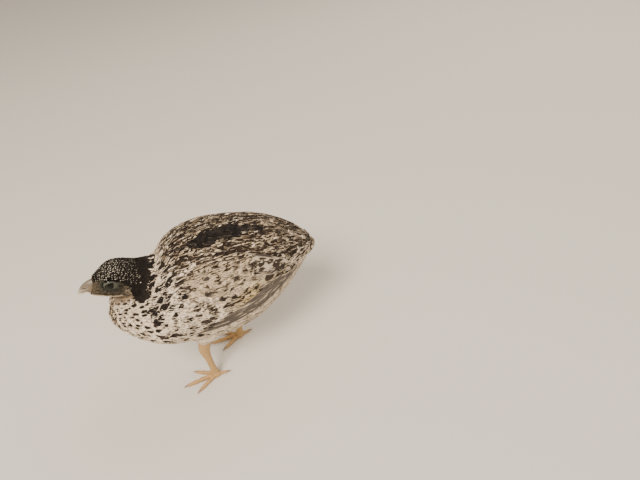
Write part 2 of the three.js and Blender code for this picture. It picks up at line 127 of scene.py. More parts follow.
CLAW = {"length": 4.0, "sunk": 0.5, "radius": 0.85}
ACROSS = np.array([0.0, 1.0, 0.0])

COLOURS = {
    "white": "#F2E3CD",
    "cream": "#E0CCAF",
    "straw": "#D0B67C",
    "buff": "#AF9A80",
    "cheek": "#4E4B40",
    "cheek_dark": "#2B2720",
    "ring": "#62655A",
    "dot": "#C9C2B3",
    "black": "#120E0E",
    "brown": "#33271C",
    "slate": "#70665D",
    "slate_dark": "#463E38",
}


def linear(hex_colour):
    """An sRGB hex colour as linear light: c / 12.92 below 0.04045, else ((c + 0.055) / 1.055) ^ 2.4."""
    srgb = np.array([int(hex_colour[i:i + 2], 16) / 255 for i in (1, 3, 5)])
    return np.where(srgb <= 0.04045, srgb / 12.92, ((srgb + 0.055) / 1.055) ** 2.4)


TINTS = {name: linear(colour) for name, colour in COLOURS.items()}


def ramp(value, start, end):
    """A smooth step: 0 at start, 1 at end, 3t^2 - 2t^3 between them."""
    t = np.clip((value - start) / (end - start), 0.0, 1.0)
    return t * t * (3 - 2 * t)


def blend(a, b, share):
    return a + (b - a) * share


def unit(v):
    return v / np.maximum(np.linalg.norm(v, axis=-1, keepdims=True), 1e-9)


def flattened(v, n):
    """The direction of v once its share along the unit vector n is taken out."""
    return unit(v - (v * n).sum(-1, keepdims=True) * n)


def turns(count):
    """Equal turns round a ring, from 0."""
    return np.linspace(0, 2 * math.pi, count, endpoint=False)


def along(stations, s):
    """A smooth value at s, 0 to 1, between equally spaced stations: the cubic whose slope at a station
    is half the difference of its neighbours."""
    v = np.asarray(stations, float)
    padded = np.concatenate([[2 * v[0] - v[1]], v, [2 * v[-1] - v[-2]]])
    last = len(v) - 1
    x = np.clip(s, 0.0, 1.0) * last
    i = np.minimum(x.astype(int), last - 1)
    t = x - i
    a, b, c, d = padded[i], padded[i + 1], padded[i + 2], padded[i + 3]
    return b + 0.5 * t * (c - a + t * (2 * a - 5 * b + 4 * c - d + t * (3 * (b - c) + d - a)))


def body_section(x):
    """The body's section at x: its station s, where x = middle - reach cos(pi s), then its half width, half
    height and the height of its middle."""
    s = np.arccos(np.clip((MIDDLE - x) / REACH, -1.0, 1.0)) / math.pi
    top = along(BODY["top"], s)
    bottom = along(BODY["bottom"], s)
    wide = np.maximum(along(BODY["half_width"], s), 0.4)
    return s, wide, np.maximum((top - bottom) / 2, 0.4), (top + bottom) / 2


def body_field(p):
    """Roughly the distance outside the body: (r^2 - m^2) / (r + m), where r is the oval radius of p
    scaled to the mean radius m, and m^2 falls on past both ends as a straight line."""
    _, wide, high, middle = body_section(p[..., 0])
    mean = (wide + high) / 2
    past = np.maximum(np.abs(p[..., 0] - MIDDLE) - REACH, 0.0)
    inside = mean ** 2 - 30.0 * past
    r2 = (p[..., 1] * mean / wide) ** 2 + ((p[..., 2] - middle) * mean / high) ** 2
    return (r2 - inside) / (np.sqrt(r2) + np.sqrt(np.maximum(inside, 0.0)) + 1.0)


def neck_field(p):
    """Roughly the distance outside the neck: an oval tube over its stations, with rounded ends."""
    x = np.clip(p[..., 0], NECK["x"][0], NECK["x"][-1])
    z, wide, high = (np.interp(x, NECK["x"], NECK[key]) for key in ("z", "wide", "high"))
    r = np.sqrt((p[..., 1] / wide) ** 2 + ((p[..., 2] - z) / high) ** 2 + ((p[..., 0] - x) / 9.0) ** 2)
    return (r - 1.0) * (wide + high) / 2


def head_frame(p):
    """The head's own coordinates of p: a forward along the beak, b up."""
    c, s = math.cos(HEAD["pitch"]), math.sin(HEAD["pitch"])
    dx, dz = p[..., 0] - HEAD["x"], p[..., 2] - HEAD["z"]
    return -dx * c - dz * s, -dx * s + dz * c


def head_point(a, b, y):
    """The point at a, b and y of the head's own coordinates."""
    c, s = math.cos(HEAD["pitch"]), math.sin(HEAD["pitch"])
    a, b, y = np.broadcast_arrays(a, b, y)
    return np.stack([HEAD["x"] - a * c - b * s, y, HEAD["z"] - a * s + b * c], -1)


def head_field(p):
    """Roughly the distance outside the head: an oval whose size is (1 - |a / reach|^2.1)^0.54 behind its
    middle and (1 - |a / reach|^1.6)^0.8 before it, with the face dropping towards the beak."""
    a, b = head_frame(p)
    share = np.where(a < 0, -a / HEAD["back"], a / HEAD["front"])
    drop = -HEAD["brow_drop"] * np.maximum(a / HEAD["front"], 0.0) ** 1.4
    left = 1 - share ** np.where(a < 0, 2.1, 1.6)
    size2 = np.sign(left) * np.abs(left) ** np.where(a < 0, 1.08, 1.6)
    r2 = ((b - drop) / HEAD["half_height"]) ** 2 + (p[..., 1] / HEAD["half_width"]) ** 2
    return 10.8 * (r2 - size2) / (np.sqrt(r2) + np.sqrt(np.maximum(size2, 0.0)) + 0.08)


def join(a, b, round_by):
    """A smooth minimum of two fields: the smaller, less h^2 k / 4 where they are within k, round_by, of
    each other and h is how much nearer, as a share of k."""
    h = np.maximum(round_by - np.abs(a - b), 0.0) / round_by
    return np.minimum(a, b) - h * h * round_by / 4


def wing_place(p):
    """Where p lies on the folded wing: p from wrist to tip, q from low to high edge, and the angle in
    degrees from the middle of the back."""
    s, wide, high, middle = body_section(p[..., 0])
    angle = np.degrees(np.arctan2(np.abs(p[..., 1]) / wide, (p[..., 2] - middle) / high))
    share = (s - WING["wrist"]) / WING["reach"]
    low, top = along(WING["low"], share), along(WING["high"], share)
    return share, (angle - low) / (top - low), angle


def lay_of(p):
    """Millimetres along the bird and across it, the coordinates of the plumage pattern. On the body these
    are the station times the pattern's length, and the angle down from the back, a little finer on the
    back and sides than on the belly, times its radius. On the head they are the distance along the head's
    own axis and the turn about it times its half width, both three times as fine."""
    s, _, angle = wing_place(p)
    station = WING["wrist"] + WING["reach"] * s
    across = np.interp(angle, [0, 60, 112, 180], [0, 90, 160, 225])
    body = np.stack([LAY_LENGTH * station, np.sign(p[..., 1]) * np.radians(across) * LAY_RADIUS], -1)
    a, b = head_frame(p)
    head = np.stack([-3.0 * a, 3.0 * HEAD["half_width"] * np.arctan2(p[..., 1], b)], -1)
    middle = p.mean(1, keepdims=True)
    return np.where((head_field(middle) < 2.0)[..., None], head, body)


def wing_rise(p):
    """How far the wing's arm and coverts stand off the body: a flat-topped hump with soft edges."""
    share, q, _ = wing_place(p)
    end = WING["arm_end"] - 0.34 * (1 - ramp(q, 0.06, 0.34))
    ends = ramp(share, -0.02, 0.14) * (1 - ramp(share, end, end + 0.1))
    edges = ramp(q, -0.04, 0.1) * (1 - ramp(q, 0.86, 1.1))
    return WING["thickness"] * ends * edges


def field(p):
    """Roughly the distance outside the feathered bird: body, neck and head run together, less the rise of
    the wings."""
    trunk = join(body_field(p), neck_field(p), NECK["round_by"])
    return join(trunk, head_field(p), HEAD["round_by"]) - wing_rise(p)


def gradient(f, p, step=0.05):
    """The slope of field f at p, from differences towards the four corners of a small tetrahedron."""
    corners = np.array([[1, -1, -1], [-1, -1, 1], [-1, 1, -1], [1, 1, 1]], float)
    return sum(c * f(p + step * c)[..., None] for c in corners) / (4 * step)


def settle(p, height=0.0, f=field, rounds=3):
    """The points of p brought onto the surface f = 0 by Newton steps, p - f g / g^2, where g is the slope,
    and raised by height along the normal. Returns them and the normals."""
    for _ in range(rounds):
        g = gradient(f, p)
        p = p - (f(p) / np.maximum((g * g).sum(-1), 1e-6))[..., None] * g
    n = unit(gradient(f, p))
    return p + n * np.asarray(height)[..., None], n


def coat_depth(p):
    """Depth of the coat over the skin: thin on the face, deep on the body."""
    return 0.8 + 1.9 * ramp(head_field(p), 1.0, 16.0)


def lie(p, n):
    """The direction in which feathers lie at p: away from the beak and back along the body, flattened
    into the surface, whose normal is n."""
    return flattened(unit(p - np.array([-84.0, 0.0, 96.0])) + np.array([0.9, 0.0, 0.0]), n)


def to_frame(p):
    """Millimetres of the bird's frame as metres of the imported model's frame."""
    return (p + np.array([SHIFT, 0.0, 0.0])) * MM


MATERIALS = {}


def put_in(name, data):
    """A new object made of data, in the scene."""
    made = bpy.data.objects.new(name, data)
    bpy.context.scene.collection.objects.link(made)
    return made


def dress(piece, material, slot, *nodes):
    """Gives a finished piece its material and body, and hides the imported nodes that it stands for.
    slot is not used.
    """
    piece.data.materials.append(MATERIALS[material])
    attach(piece, "root")
    if nodes:
        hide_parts(*nodes)


def enclosed(points, loops, sizes):
    """The volume that the faces enclose, each cut into a fan from its first corner: the sum of
    a . (b x c) / 6 over the triangles, negative where the faces look inwards."""
    starts = np.cumsum(sizes) - sizes
    first = np.repeat(loops[starts], sizes)
    inner = np.ones(len(loops), bool)
    inner[starts + sizes - 1] = False
    i = np.flatnonzero(inner)
    return (points[first[i]] * np.cross(points[loops[i]], points[loops[i + 1]])).sum() / 6


def add_map(piece, name, places):
    """Adds a UV map from one place a point."""
    corners = np.empty(len(piece.data.loops), np.int32)
    piece.data.loops.foreach_get("vertex_index", corners)
    layer = piece.data.uv_layers.new(name=name)
    layer.data.foreach_set("uv", places[corners].astype(np.float32).ravel())


def mesh_piece(name, points, loops, sizes, uv=None, smooth=None):
    """A piece from points in millimetres and faces: loops is every corner's point, sizes each face's
    corners. uv is one place a point on the bake's unwrap, smooth one flag a face. Faces that look inwards
    are turned."""
    smooth = np.ones(len(sizes), bool) if smooth is None else smooth
    if enclosed(points, loops, sizes) < 0:
        loops, sizes, smooth = loops[::-1], sizes[::-1], smooth[::-1]
    mesh = bpy.data.meshes.new(name)
    mesh.vertices.add(len(points))
    mesh.vertices.foreach_set("co", to_frame(points).astype(np.float32).ravel())
    mesh.loops.add(len(loops))
    mesh.loops.foreach_set("vertex_index", loops.astype(np.int32))
    mesh.polygons.add(len(sizes))
    starts = np.concatenate([[0], np.cumsum(sizes)[:-1]]).astype(np.int32)
    mesh.polygons.foreach_set("loop_start", starts)
    mesh.polygons.foreach_set("use_smooth", smooth)
    mesh.update(calc_edges=True)
    piece = put_in(name, mesh)
    if uv is not None:
        add_map(piece, "OFBake", uv)
    return piece


def paint(piece, name, values):
    """Adds a colour attribute from up to four numbers a point; those left out are 1."""
    full = np.ones((len(values), 4), np.float32)
    full[:, :values.shape[-1]] = values
    layer = piece.data.color_attributes.new(name=name, type="FLOAT_COLOR", domain="POINT")
    layer.data.foreach_set("color", full.ravel())


def grid_faces(rows, columns, closed=False, ring=False):
    """Quads of a grid of points, row by row. closed joins the last column to the first, and ring the last
    row to the first."""
    i, j = np.meshgrid(np.arange(rows - 1 + ring), np.arange(columns - 1 + closed), indexing="ij")
    here, below = i * columns, (i + 1) % rows * columns
    k = (j + 1) % columns
    return np.stack([here + j, here + k, below + k, below + j], -1).reshape(-1, 4)


def tube_piece(name, rings):
    """A closed piece through rings of equal length, (rows, around, 3), with a fan over each end."""
    rows, around, _ = rings.shape
    quads = grid_faces(rows, around, closed=True)
    j = np.arange(around)
    k = (j + 1) % around
    pole = np.full(around, rows * around)
    last = (rows - 1) * around
    fans = np.concatenate([np.stack([pole, k, j], -1), np.stack([pole + 1, last + j, last + k], -1)])
    points = np.concatenate([rings.reshape(-1, 3), rings[:1].mean(1), rings[-1:].mean(1)])
    sizes = np.concatenate([np.full(len(quads), 4), np.full(len(fans), 3)])
    return mesh_piece(name, points, np.concatenate([quads.ravel(), fans.ravel()]), sizes)


# Where the markings change, in the bird's own millimetres. The nape's two lines give x for each z, the
# other lines z for each x.
CROWN_LINE = ([-70, -64, -57, -53, -46, -43.5], [100.6, 102.7, 104.8, 104.6, 101.4, 98.5])
NAPE_REAR = ([84, 89, 95, 101.5, 105, 107.5, 112], [-37, -35, -32, -27.5, -26, -31.5, -34])
NAPE_FRONT = ([84, 91, 97, 101], [-44.5, -44, -42.5, -45])
MALAR_LINE = ([-69, -62, -53], [94.3, 93.0, 91.4])
BROW_LINE = ([-50, -46, -42], [100.0, 99.9, 98.4])


def markings(p, draws):
    """What a feather at p looks like: ground colour, mark colour, and the pattern's strength: how large the
    spots are, how much of it is streaks, the width of its contrasting edge (negative for none), and its own
    tone. draws are random numbers, five a feather, that choose among the feathers of a region."""
    x, y, z = p[..., 0], p[..., 1], p[..., 2]
    pick, size, tone, other, ragged = np.moveaxis(np.broadcast_to(draws, (*x.shape, 5)), -1, 0)
    angle = wing_place(p)[2]
    head = head_field(p)
    wobble = ragged - 0.5

    def mix(a, b, share):
        return blend(TINTS[a], TINTS[b], np.clip(share, 0, 1)[..., None])

    def region(where, **changes):
        for key, value in changes.items():
            mask = where[..., None] if state[key].ndim > x.ndim else where
            state[key] = np.where(mask, value, state[key])

    # Breast and belly: cream, with small round dark spots, fewer low down and only streaks behind the legs.
    state = {
        "ground": mix("cream", "white", 0.3 + 0.7 * tone),
        "mark": mix("brown", "black", tone),
        "spot": 0.32 - 0.08 * ramp(z, 60, 48),
        "streak": np.zeros(x.shape),
        "edge": np.full(x.shape, -1.0),
    }
    vent = (angle > 112) & (x > -8 + 12 * wobble)
    region(vent, mark=mix("buff", "cheek", 0.6 * tone), spot=0.2, streak=0.4 + 0.08 * pick)

    # Flanks and wings: larger dashes, and a straw tinge towards the rear.
    side = ramp(angle + 10 * wobble, 108, 96) * ramp(x, -46, -28)
    region(side > 0.5, mark=mix("brown", "slate_dark", 0.5 * tone), spot=0.46 + 0.05 * size,
           streak=0.32 + 0.14 * (pick > 0.7))
    tinge = ramp(np.hypot((x - 30) / 28, (angle - 88) / 17), 1.0, 0.3)
    straw = (0.9 * tinge * (0.4 + 0.6 * tone))[..., None]
    region(tinge > 0.05, ground=blend(state["ground"], TINTS["straw"], straw))

    # Shoulder: taupe and grey streaks. Back: black-brown with narrow pale streaks, some only taupe, and a
    # black saddle left of its middle.
    shoulder = (np.hypot((x - 12) / 26, (angle - 58) / 20) < 1 + 0.5 * wobble) & (x > -14)
    region(shoulder, ground=mix("buff", "cream", 0.3 + 0.6 * tone), mark=mix("brown", "slate_dark", tone),
           spot=0.26, streak=0.46 + 0.1 * (pick - 0.5))
    reach = 40 + 8 * ramp(x, -10, 10) + 28 * ramp(x, 15, 50)
    back = (angle < reach + 26 * wobble) & (x > -20 + 8 * wobble)
    region(back, ground=mix("black", "brown", 0.3 + 0.9 * tone),
           mark=mix("buff", "white", 1.4 * other - 0.1), spot=-1.0, streak=0.4 + 0.12 * (pick - 0.5),
           edge=np.where(other > 0.95, 0.15, -1.0))
    region(back & (pick < 0.12), ground=mix("buff", "cream", tone), mark=mix("black", "brown", tone),
           streak=0.5)
    left = angle * np.where(y < 0, 1.0, -1.0)
    saddle = back & (np.hypot((x - 18) / 25, (left - 20) / 9) < 1 + 0.6 * wobble)
    region(saddle, ground=mix("black", "brown", 0.25 * tone), mark=mix("slate_dark", "buff", 0.4 * other),
           streak=0.14, edge=-1.0)

    # Collar behind the nape: white with heavy dark blotches, smaller lower down.
    rear = np.interp(z, *NAPE_REAR)
    collar = (x > rear) & (x < -16 + 8 * wobble) & (angle < 88)
    region(collar, ground=mix("cream", "white", 0.4 + 0.6 * tone), mark=mix("black", "brown", 0.5 * tone),
           spot=0.56 - 0.2 * ramp(angle, 50, 78), streak=0.34, edge=-1.0)

    # Throat: buff.
    throat = (head < 6 + 4 * wobble) & (z < 92.5) & (x < -42.5 + 3 * wobble)
    region(throat, ground=mix("cheek", "buff", 0.2 + 0.9 * tone + 0.3 * (head > 3)), mark=TINTS["brown"],
           spot=0.2, streak=0.3)

    # Cheek and face: olive-grey with darker flecks, paler before and round the eye and before the nape.
    cheek = (head < 3.5) & (z > 90.2 + wobble) & (x < -42)
    lore = ramp(x, -58, -65)
    region(cheek, ground=mix("cheek", "buff", 0.1 + 0.2 * tone + 0.4 * lore),
           mark=mix("cheek_dark", "cheek", 0.6 * tone), spot=-1.0, streak=0.42 + 0.16 * pick - 0.1 * lore)
    ring = cheek & (eye_clear(p) < 1.45 + 0.3 * wobble)
    region(ring, ground=mix("ring", "cheek", 0.5 * tone), streak=0.3)
    pale = cheek & (np.hypot((x + 45.6) / 1.4, (z - 94.6) / 2.2) < 1 + 0.9 * wobble)
    region(pale, ground=mix("cheek", "cream", 0.75 * tone), streak=0.46)

    # Whitish line from the lower beak back under the cheek, and dark lines behind the mouth and the eye.
    line = np.abs(z - np.interp(x, *MALAR_LINE)) < 1.1 + 0.6 * wobble
    line = line & (head < 3) & (x < -49 + 3 * wobble)
    region(line, ground=mix("cream", "white", 0.1 + 0.7 * tone), streak=0.3, spot=-1.0)
    brow = np.abs(z - np.interp(x, *BROW_LINE)) < 0.4 + 0.6 * wobble
    brow = brow & (x > -49 + wobble) & (x < -42)
    gape = np.abs(z - 95.3 + (x + 62) * 0.22) < 0.3 + 0.5 * wobble
    gape = gape & (x > -64) & (x < -57 + 2 * wobble)
    region((brow | gape) & cheek, ground=mix("brown", "cheek_dark", tone), streak=0.0)

    # Crown and nape: black. The nape's patch runs down both sides of the neck. A tuft at the beak is buff.
    crown = (z > np.interp(x, *CROWN_LINE) + 0.9 * wobble) & (x < -38) & (head < 5)
    front = np.interp(z, *NAPE_FRONT) + 1.2 * wobble
    nape = (x < rear + 3.5 * wobble) & (x > front) & (z > 86.5 + 3 * wobble)
    region(crown | nape, ground=mix("black", "brown", 0.35 * tone), spot=-1.0, streak=0.0, edge=-1.0)
    region(crown & (x < -63 + 2.5 * wobble), ground=mix("cheek", "buff", tone),
           mark=mix("brown", "black", tone), streak=0.45)
    shape = np.stack([state["spot"], state["streak"], state["edge"], tone], -1)
    return state["ground"], state["mark"], shape


def skin_rays(directions):
    """How far the skin is from its centre along each direction: the last sample at which the ray is
    under the coat, then eight halvings."""
    def under(distance):
        q = SKIN["centre"] + directions * distance[..., None]
        return field(q) + coat_depth(q) < 0

    step = 1.5
    low = np.zeros(directions.shape[:-1])
    for distance in np.arange(4.0, 112.0, step):
        low = np.where(under(np.full(low.shape, distance)), distance, low)
    high = low + step
    for _ in range(8):
        middle = (low + high) / 2
        inside = under(middle)
        low, high = np.where(inside, middle, low), np.where(inside, high, middle)
    return low


# The skin's grid, and its colour as a share of its feathers': painted shade, darker than the coat, where
# the skin shows between the feathers.
SKIN_PAINTED_SHADE = 0.6
SKIN = {"rows": 230, "around": 168, "centre": np.array([-30.0, 0.0, 86.0])}


def feather_length(p):
    """Length of a contour feather at p: about 1.5 mm at the beak, 2.5 on the crown, 11.5 on the body."""
    a, _ = head_frame(p)
    out = head_field(p)
    face = 2.5 - 1.0 * ramp(a, 8, 15)
    return face + 4.5 * ramp(out, 1.0, 12.0) + 4.5 * ramp(out, 10.0, 30.0)


def skin_grid():
    """The skin as a grid of points from the beak's pole to the tail's, its rows closer together where the
    feathers are short: the cost of a step is its length over feather length ^ 0.6."""
    rows, around = SKIN["rows"], SKIN["around"]
    plan = np.linspace(0.0, 1.0, 400)
    squeeze = plan * math.pi
    for _ in range(2):
        points = ray_points(squeeze, turns(24))
        step = np.linalg.norm(np.diff(points, axis=0), axis=-1).mean(1)
        scale = feather_length(points).mean(1)
        cost = step / (0.5 * (scale[1:] + scale[:-1])) ** 0.6
        reached = np.concatenate([[0], np.cumsum(cost)])
        squeeze = np.interp(np.linspace(0, reached[-1], len(plan)), reached, squeeze)
    polar = np.interp(np.linspace(0, 1, rows), plan, squeeze)
    polar[0], polar[-1] = 1e-4, math.pi - 1e-4
    return ray_points(polar, turns(around))


def ray_points(polar, turn):
    """Points of the skin in the directions at angle polar from -X and turn about it."""
    polar, turn = np.meshgrid(polar, turn, indexing="ij")
    out = np.sin(polar)
    directions = np.stack([-np.cos(polar), -out * np.sin(turn), out * np.cos(turn)], -1)
    return SKIN["centre"] + directions * skin_rays(directions)[..., None]


def spread_roots(points, spacing):
    """Roots over a grid of points, evenly spaced by spacing(points): the golden spiral's i-th root takes
    the share (i + 1/2) / count of the way from the first row to the last and the fraction of i times the
    golden ratio round the ring. Both shares are of the number of feathers, area / spacing^2. Returns the
    roots and their places on the unwrap, both shares of the grid."""
    closed = np.concatenate([points, points[:, :1]], 1)
    across = np.diff(closed, axis=1)[:-1]
    down = np.diff(closed, axis=0)[:, :-1]
    area = np.linalg.norm(np.cross(across, down), axis=-1)
    feathers = area / spacing(points[:-1]) ** 2
    rows = np.concatenate([[0], np.cumsum(feathers.sum(1))])
    count = int(rows[-1])
    i = np.arange(count)
    share = (i + 0.5) / count
    row = np.interp(share * rows[-1], rows, np.arange(len(rows)))
    r = np.minimum(row.astype(int), len(feathers) - 1)
    ring = np.cumsum(feathers, axis=1) / feathers.sum(1, keepdims=True)
    turn = (i * GOLDEN) % 1.0
    c = (ring[r] < turn[:, None]).sum(1)
    before = np.where(c > 0, ring[r, np.maximum(c - 1, 0)], 0.0)
    fraction = (turn - before) / np.maximum(ring[r, c] - before, 1e-9)
    u, v = (row - r)[:, None], fraction[:, None]
    roots = (closed[r, c] * (1 - u) * (1 - v) + closed[r + 1, c] * u * (1 - v)
             + closed[r, c + 1] * (1 - u) * v + closed[r + 1, c + 1] * u * v)
    return roots, np.stack([(c + fraction) / feathers.shape[1], row / len(feathers)], -1)


def evenly(spacing):
    """The same spacing at every point."""
    return lambda p: np.full(p.shape[:-1], spacing)


def sow(points, spacing, seed, keep=None):
    """Roots over a grid of points where keep(roots) is true, their places on the unwrap, and five random
    draws for each."""
    roots, place = spread_roots(points, spacing)
    if keep is not None:
        chosen = keep(roots)
        roots, place = roots[chosen], place[chosen]
    return roots, place, np.random.default_rng(seed).random((len(roots), 5))


def feather_template(rows, columns):
    """Corners, face sizes and smooth flags of one closed vane: a smooth grid of rows + 1 by columns points
    on top, one line of points under its middle, and a face over each end."""
    grid = grid_faces(rows + 1, columns)
    under = (rows + 1) * columns + np.arange(rows + 1)
    i = np.arange(rows)
    left = np.stack([i * columns, (i + 1) * columns, under[i + 1], under[i]], -1)
    right = np.stack([(i + 1) * columns - 1, under[i], under[i + 1], (i + 2) * columns - 1], -1)
    quads = np.concatenate([grid, left, right])
    root = np.concatenate([[under[0]], np.arange(columns)[::-1]])
    tip = np.concatenate([[under[rows]], rows * columns + np.arange(columns)])
    loops = np.concatenate([quads.ravel(), root, tip])
    sizes = np.concatenate([np.full(len(quads), 4), [len(root), len(tip)]])
    return loops, sizes, np.arange(len(sizes)) < len(grid)


def vane_grid(rows, columns):
    """Shares along, 0 to 1, and across, -1 to 1, of the points of a feather, top grid first, then the
    line below; low is 1 for that line."""
    t, c = np.meshgrid(np.linspace(0, 1, rows + 1), np.linspace(-1, 1, columns), indexing="ij")
    t = np.concatenate([t.ravel(), np.linspace(0, 1, rows + 1)])
    c = np.concatenate([c.ravel(), np.zeros(rows + 1)])
    low = np.concatenate([np.zeros((rows + 1) * columns), np.ones(rows + 1)])
    return t, c, low


# Width of a feather's patch on the bake's unwrap.
PATCH = 0.003

# The coat: distances between roots, as shares of feather length or in millimetres, the length below which
# feathers are the head's, the length above which loose barbs grow, and where the body's parts meet.
COAT = {"spacing": 0.18, "wisp_spacing": 0.17, "dot_spacing": 1.15, "thigh_spacing": 1.15,
        "head_below": 4.0, "wisps_above": 4.5, "rear_from": -18, "back_above": 80}

# Starts of the random draws, one for each group of feathers.
SEEDS = {"coat": 5, "crown dots": 7, "loose barbs": 9, "left wing": 21, "right wing": 22, "tail": 31,
         "left thigh": 41, "right thigh": 42}


def feathers_piece(name, points, rows, columns, ground, mark, shape, place):
    """One mesh of many feathers. points is (feathers, points, 3); ground, mark and shape are one row a
    feather or one a point; place is where each root lies on the skin's unwrap."""
    count, size, _ = points.shape
    t, c, _ = vane_grid(rows, columns)
    own = np.stack([(c + 1) / 2, t], -1)
    loops, sizes, smooth = feather_template(rows, columns)
    all_loops = (loops[None] + np.arange(count)[:, None] * size).ravel()
    baked = (place[:, None] * (1 - PATCH) + PATCH * own[None]).reshape(-1, 2)
    piece = mesh_piece(name, points.reshape(-1, 3), all_loops, np.tile(sizes, count), baked,
                       np.tile(smooth, count))
    add_map(piece, "vane", np.tile(own, (count, 1)))
    lay = lay_of(points) + 0.8 * (shape[..., 3:] - 0.5).reshape(count, -1, 1)
    for key, values in (("ground", ground), ("mark", mark), ("shape", shape), ("lay", lay)):
        values = values if values.ndim == 3 else values[:, None]
        full = np.broadcast_to(values, (count, size, values.shape[-1]))
        paint(piece, key, full.reshape(count * size, -1))
    return piece


def coat(name, roots, place, draws, rows, columns, slimness=0.4, ragged=0.3, lift=0.2, thickness=0.26,
         surface=field, length_at=feather_length, lie_at=lie, look_at=markings):
    """A piece of contour feathers. Each starts under the skin, follows the lie, rises through the coat and
    ends at the feathered surface; its barbs fan out and end unevenly, at 1 - 0.38 c^2 less a random share
    of the length."""
    t, c, low = vane_grid(rows, columns)
    base, n = settle(roots, f=surface)
    ahead = lie_at(base, n)
    swing = (draws[:, 3:4] - 0.5) * 0.5
    side = unit(np.cross(n, ahead))
    ahead = unit(ahead + side * swing)
    side = unit(np.cross(n, ahead))
    length = length_at(base) * (0.8 + 0.4 * draws[:, 1])
    rng = np.random.default_rng(len(roots))
    jag = rng.random((len(roots), columns)) * ragged
    column = np.rint((c + 1) / 2 * (columns - 1)).astype(int)
    reach = 1 - 0.38 * c[None] ** 2 - jag[:, column]
    shape_across = 0.3 + 0.7 * ramp(t, 0.0, 0.55)
    out = length[:, None] * (t * np.where(t > 0.4, reach, blend(1.0, reach, t / 0.4)))
    off = (length[:, None] * slimness / 2) * c * shape_across
    q = base[:, None] + ahead[:, None] * out[..., None] + side[:, None] * off[..., None]
    depth = coat_depth(base)
    tip_lift = lift * (0.4 + 1.2 * draws[:, 2]) * (length / 10.0) ** 0.5
    height = blend(-depth[:, None] - 0.4, tip_lift[:, None], t[None] ** 0.55)
    camber = 0.22 * (length * slimness)[:, None] * 0.5 * (1 - c ** 2)[None] * ramp(t, 0, 0.5)
    body = (thickness * (length / 10.0) ** 0.5)[:, None] * (1 - 0.5 * t)[None] * low[None]
    points, _ = settle(q, height + camber - body, f=surface, rounds=2)
    look = base + ahead * (length * 0.7)[:, None]
    ground, mark, shape = look_at(look, draws)
    return feathers_piece(name, points, rows, columns, ground, mark, shape, place)


def eye_clear(p):
    """Distance of p from the nearer eye's middle, seen from the side and scaled so that the lids' oval
    is 1."""
    a, b = head_frame(p)
    wide, high = EYE["open_wide"] + EYE["rim"], EYE["open_high"] + EYE["rim"]
    return np.hypot((a - EYE["a"]) / wide, (b - EYE["b"]) / high)


def face_length(p):
    """Length of a face feather: shorter round the eye, so that none hangs over it."""
    return feather_length(p) * (0.35 + 0.65 * ramp(eye_clear(p), 1.0, 2.2))


def beak_clear(p):
    """True where p is clear of the beak: behind its bare part, or outside an oval round it."""
    a, b = head_frame(p)
    middle, high = (BEAK["culmen"] + BEAK["chin"]) / 2, (BEAK["culmen"] - BEAK["chin"]) / 2
    oval = np.hypot(p[..., 1] / BEAK["half_width"], (b - middle) / (high + 0.2))
    return (a < BEAK["bare_from"]) | (oval > 1)


def make_skin(points):
    """The skin: the ray grid, closed over each pole, with the coat's ground colours, darkened as painted
    shade between the feathers.
    """
    rows, around, _ = points.shape
    quads = grid_faces(rows, around, closed=True)
    points = points.reshape(-1, 3)
    ring = np.arange(around)
    u, v = np.meshgrid(ring / around, np.arange(rows) / (rows - 1))
    loops = np.concatenate([quads.ravel(), ring[::-1], (rows - 1) * around + ring])
    sizes = np.concatenate([np.full(len(quads), 4), [around, around]])
    piece = mesh_piece("skin", points, loops, sizes, np.stack([u, v], -1).reshape(-1, 2))
    # The coat's colours at the skin, darkened: painted shade between the feathers.
    paint(piece, "ground", SKIN_PAINTED_SHADE * markings(points, np.full(5, 0.5))[0])
    dress(piece, "skin", "body_feathers", "torso", "neck", "head")


def add(tree, kind, settings=None, inputs=None):
    """Adds a node: settings are its properties, inputs its sockets by name or number. An input that is
    another node's output is linked, any other value is set."""
    made = tree.nodes.new(kind)
    for key, value in (settings or {}).items():
        setattr(made, key, value)
    for key, value in (inputs or {}).items():
        if isinstance(value, bpy.types.NodeSocket):
            tree.links.new(value, made.inputs[key])
        else:
            made.inputs[key].default_value = value
    return made


def rgba(hex_colour):
    return (*linear(hex_colour), 1.0)


def new_material(name):
    """The empty node tree of a new material, which is kept under its name."""
    material = bpy.data.materials.new(name)
    material.use_nodes = True
    material.node_tree.nodes.clear()
    MATERIALS[name] = material
    return material.node_tree


def end_with_shader(tree, inputs):
    """Ends a material: the shader with its inputs by name, into the output."""
    shader = add(tree, "ShaderNodeBsdfPrincipled", inputs=inputs)
    add(tree, "ShaderNodeOutputMaterial", inputs={"Surface": shader.outputs[0]})


def read(tree, attribute, output="Color"):
    return add(tree, "ShaderNodeAttribute", {"attribute_name": attribute}).outputs[output]


def noise(tree, size, detail, squeeze=(1.0, 1.0, 1.0)):
    """Noise whose features have a size in millimetres, divided along each axis by squeeze."""
    place = add(tree, "ShaderNodeTexCoord").outputs["Object"]
    place = add(tree, "ShaderNodeMapping", inputs={"Vector": place, "Scale": squeeze}).outputs[0]
    inputs = {"Vector": place, "Scale": 1 / (size * MM), "Detail": detail}
    return add(tree, "ShaderNodeTexNoise", inputs=inputs).outputs["Fac"]


def mixed(tree, share, a, b):
    return add(tree, "ShaderNodeMix", {"data_type": "RGBA"}, {0: share, 6: a, 7: b}).outputs[2]


def lit_by(tree, colour, light):
    return add(tree, "ShaderNodeVectorMath", {"operation": "SCALE"}, {0: colour, "Scale": light}).outputs[0]


def relief(tree, height, strength, depth):
    """A normal that follows height, up to a depth in millimetres."""
    inputs = {"Strength": strength, "Distance": depth * MM, "Height": height}
    return add(tree, "ShaderNodeBump", inputs=inputs).outputs[0]


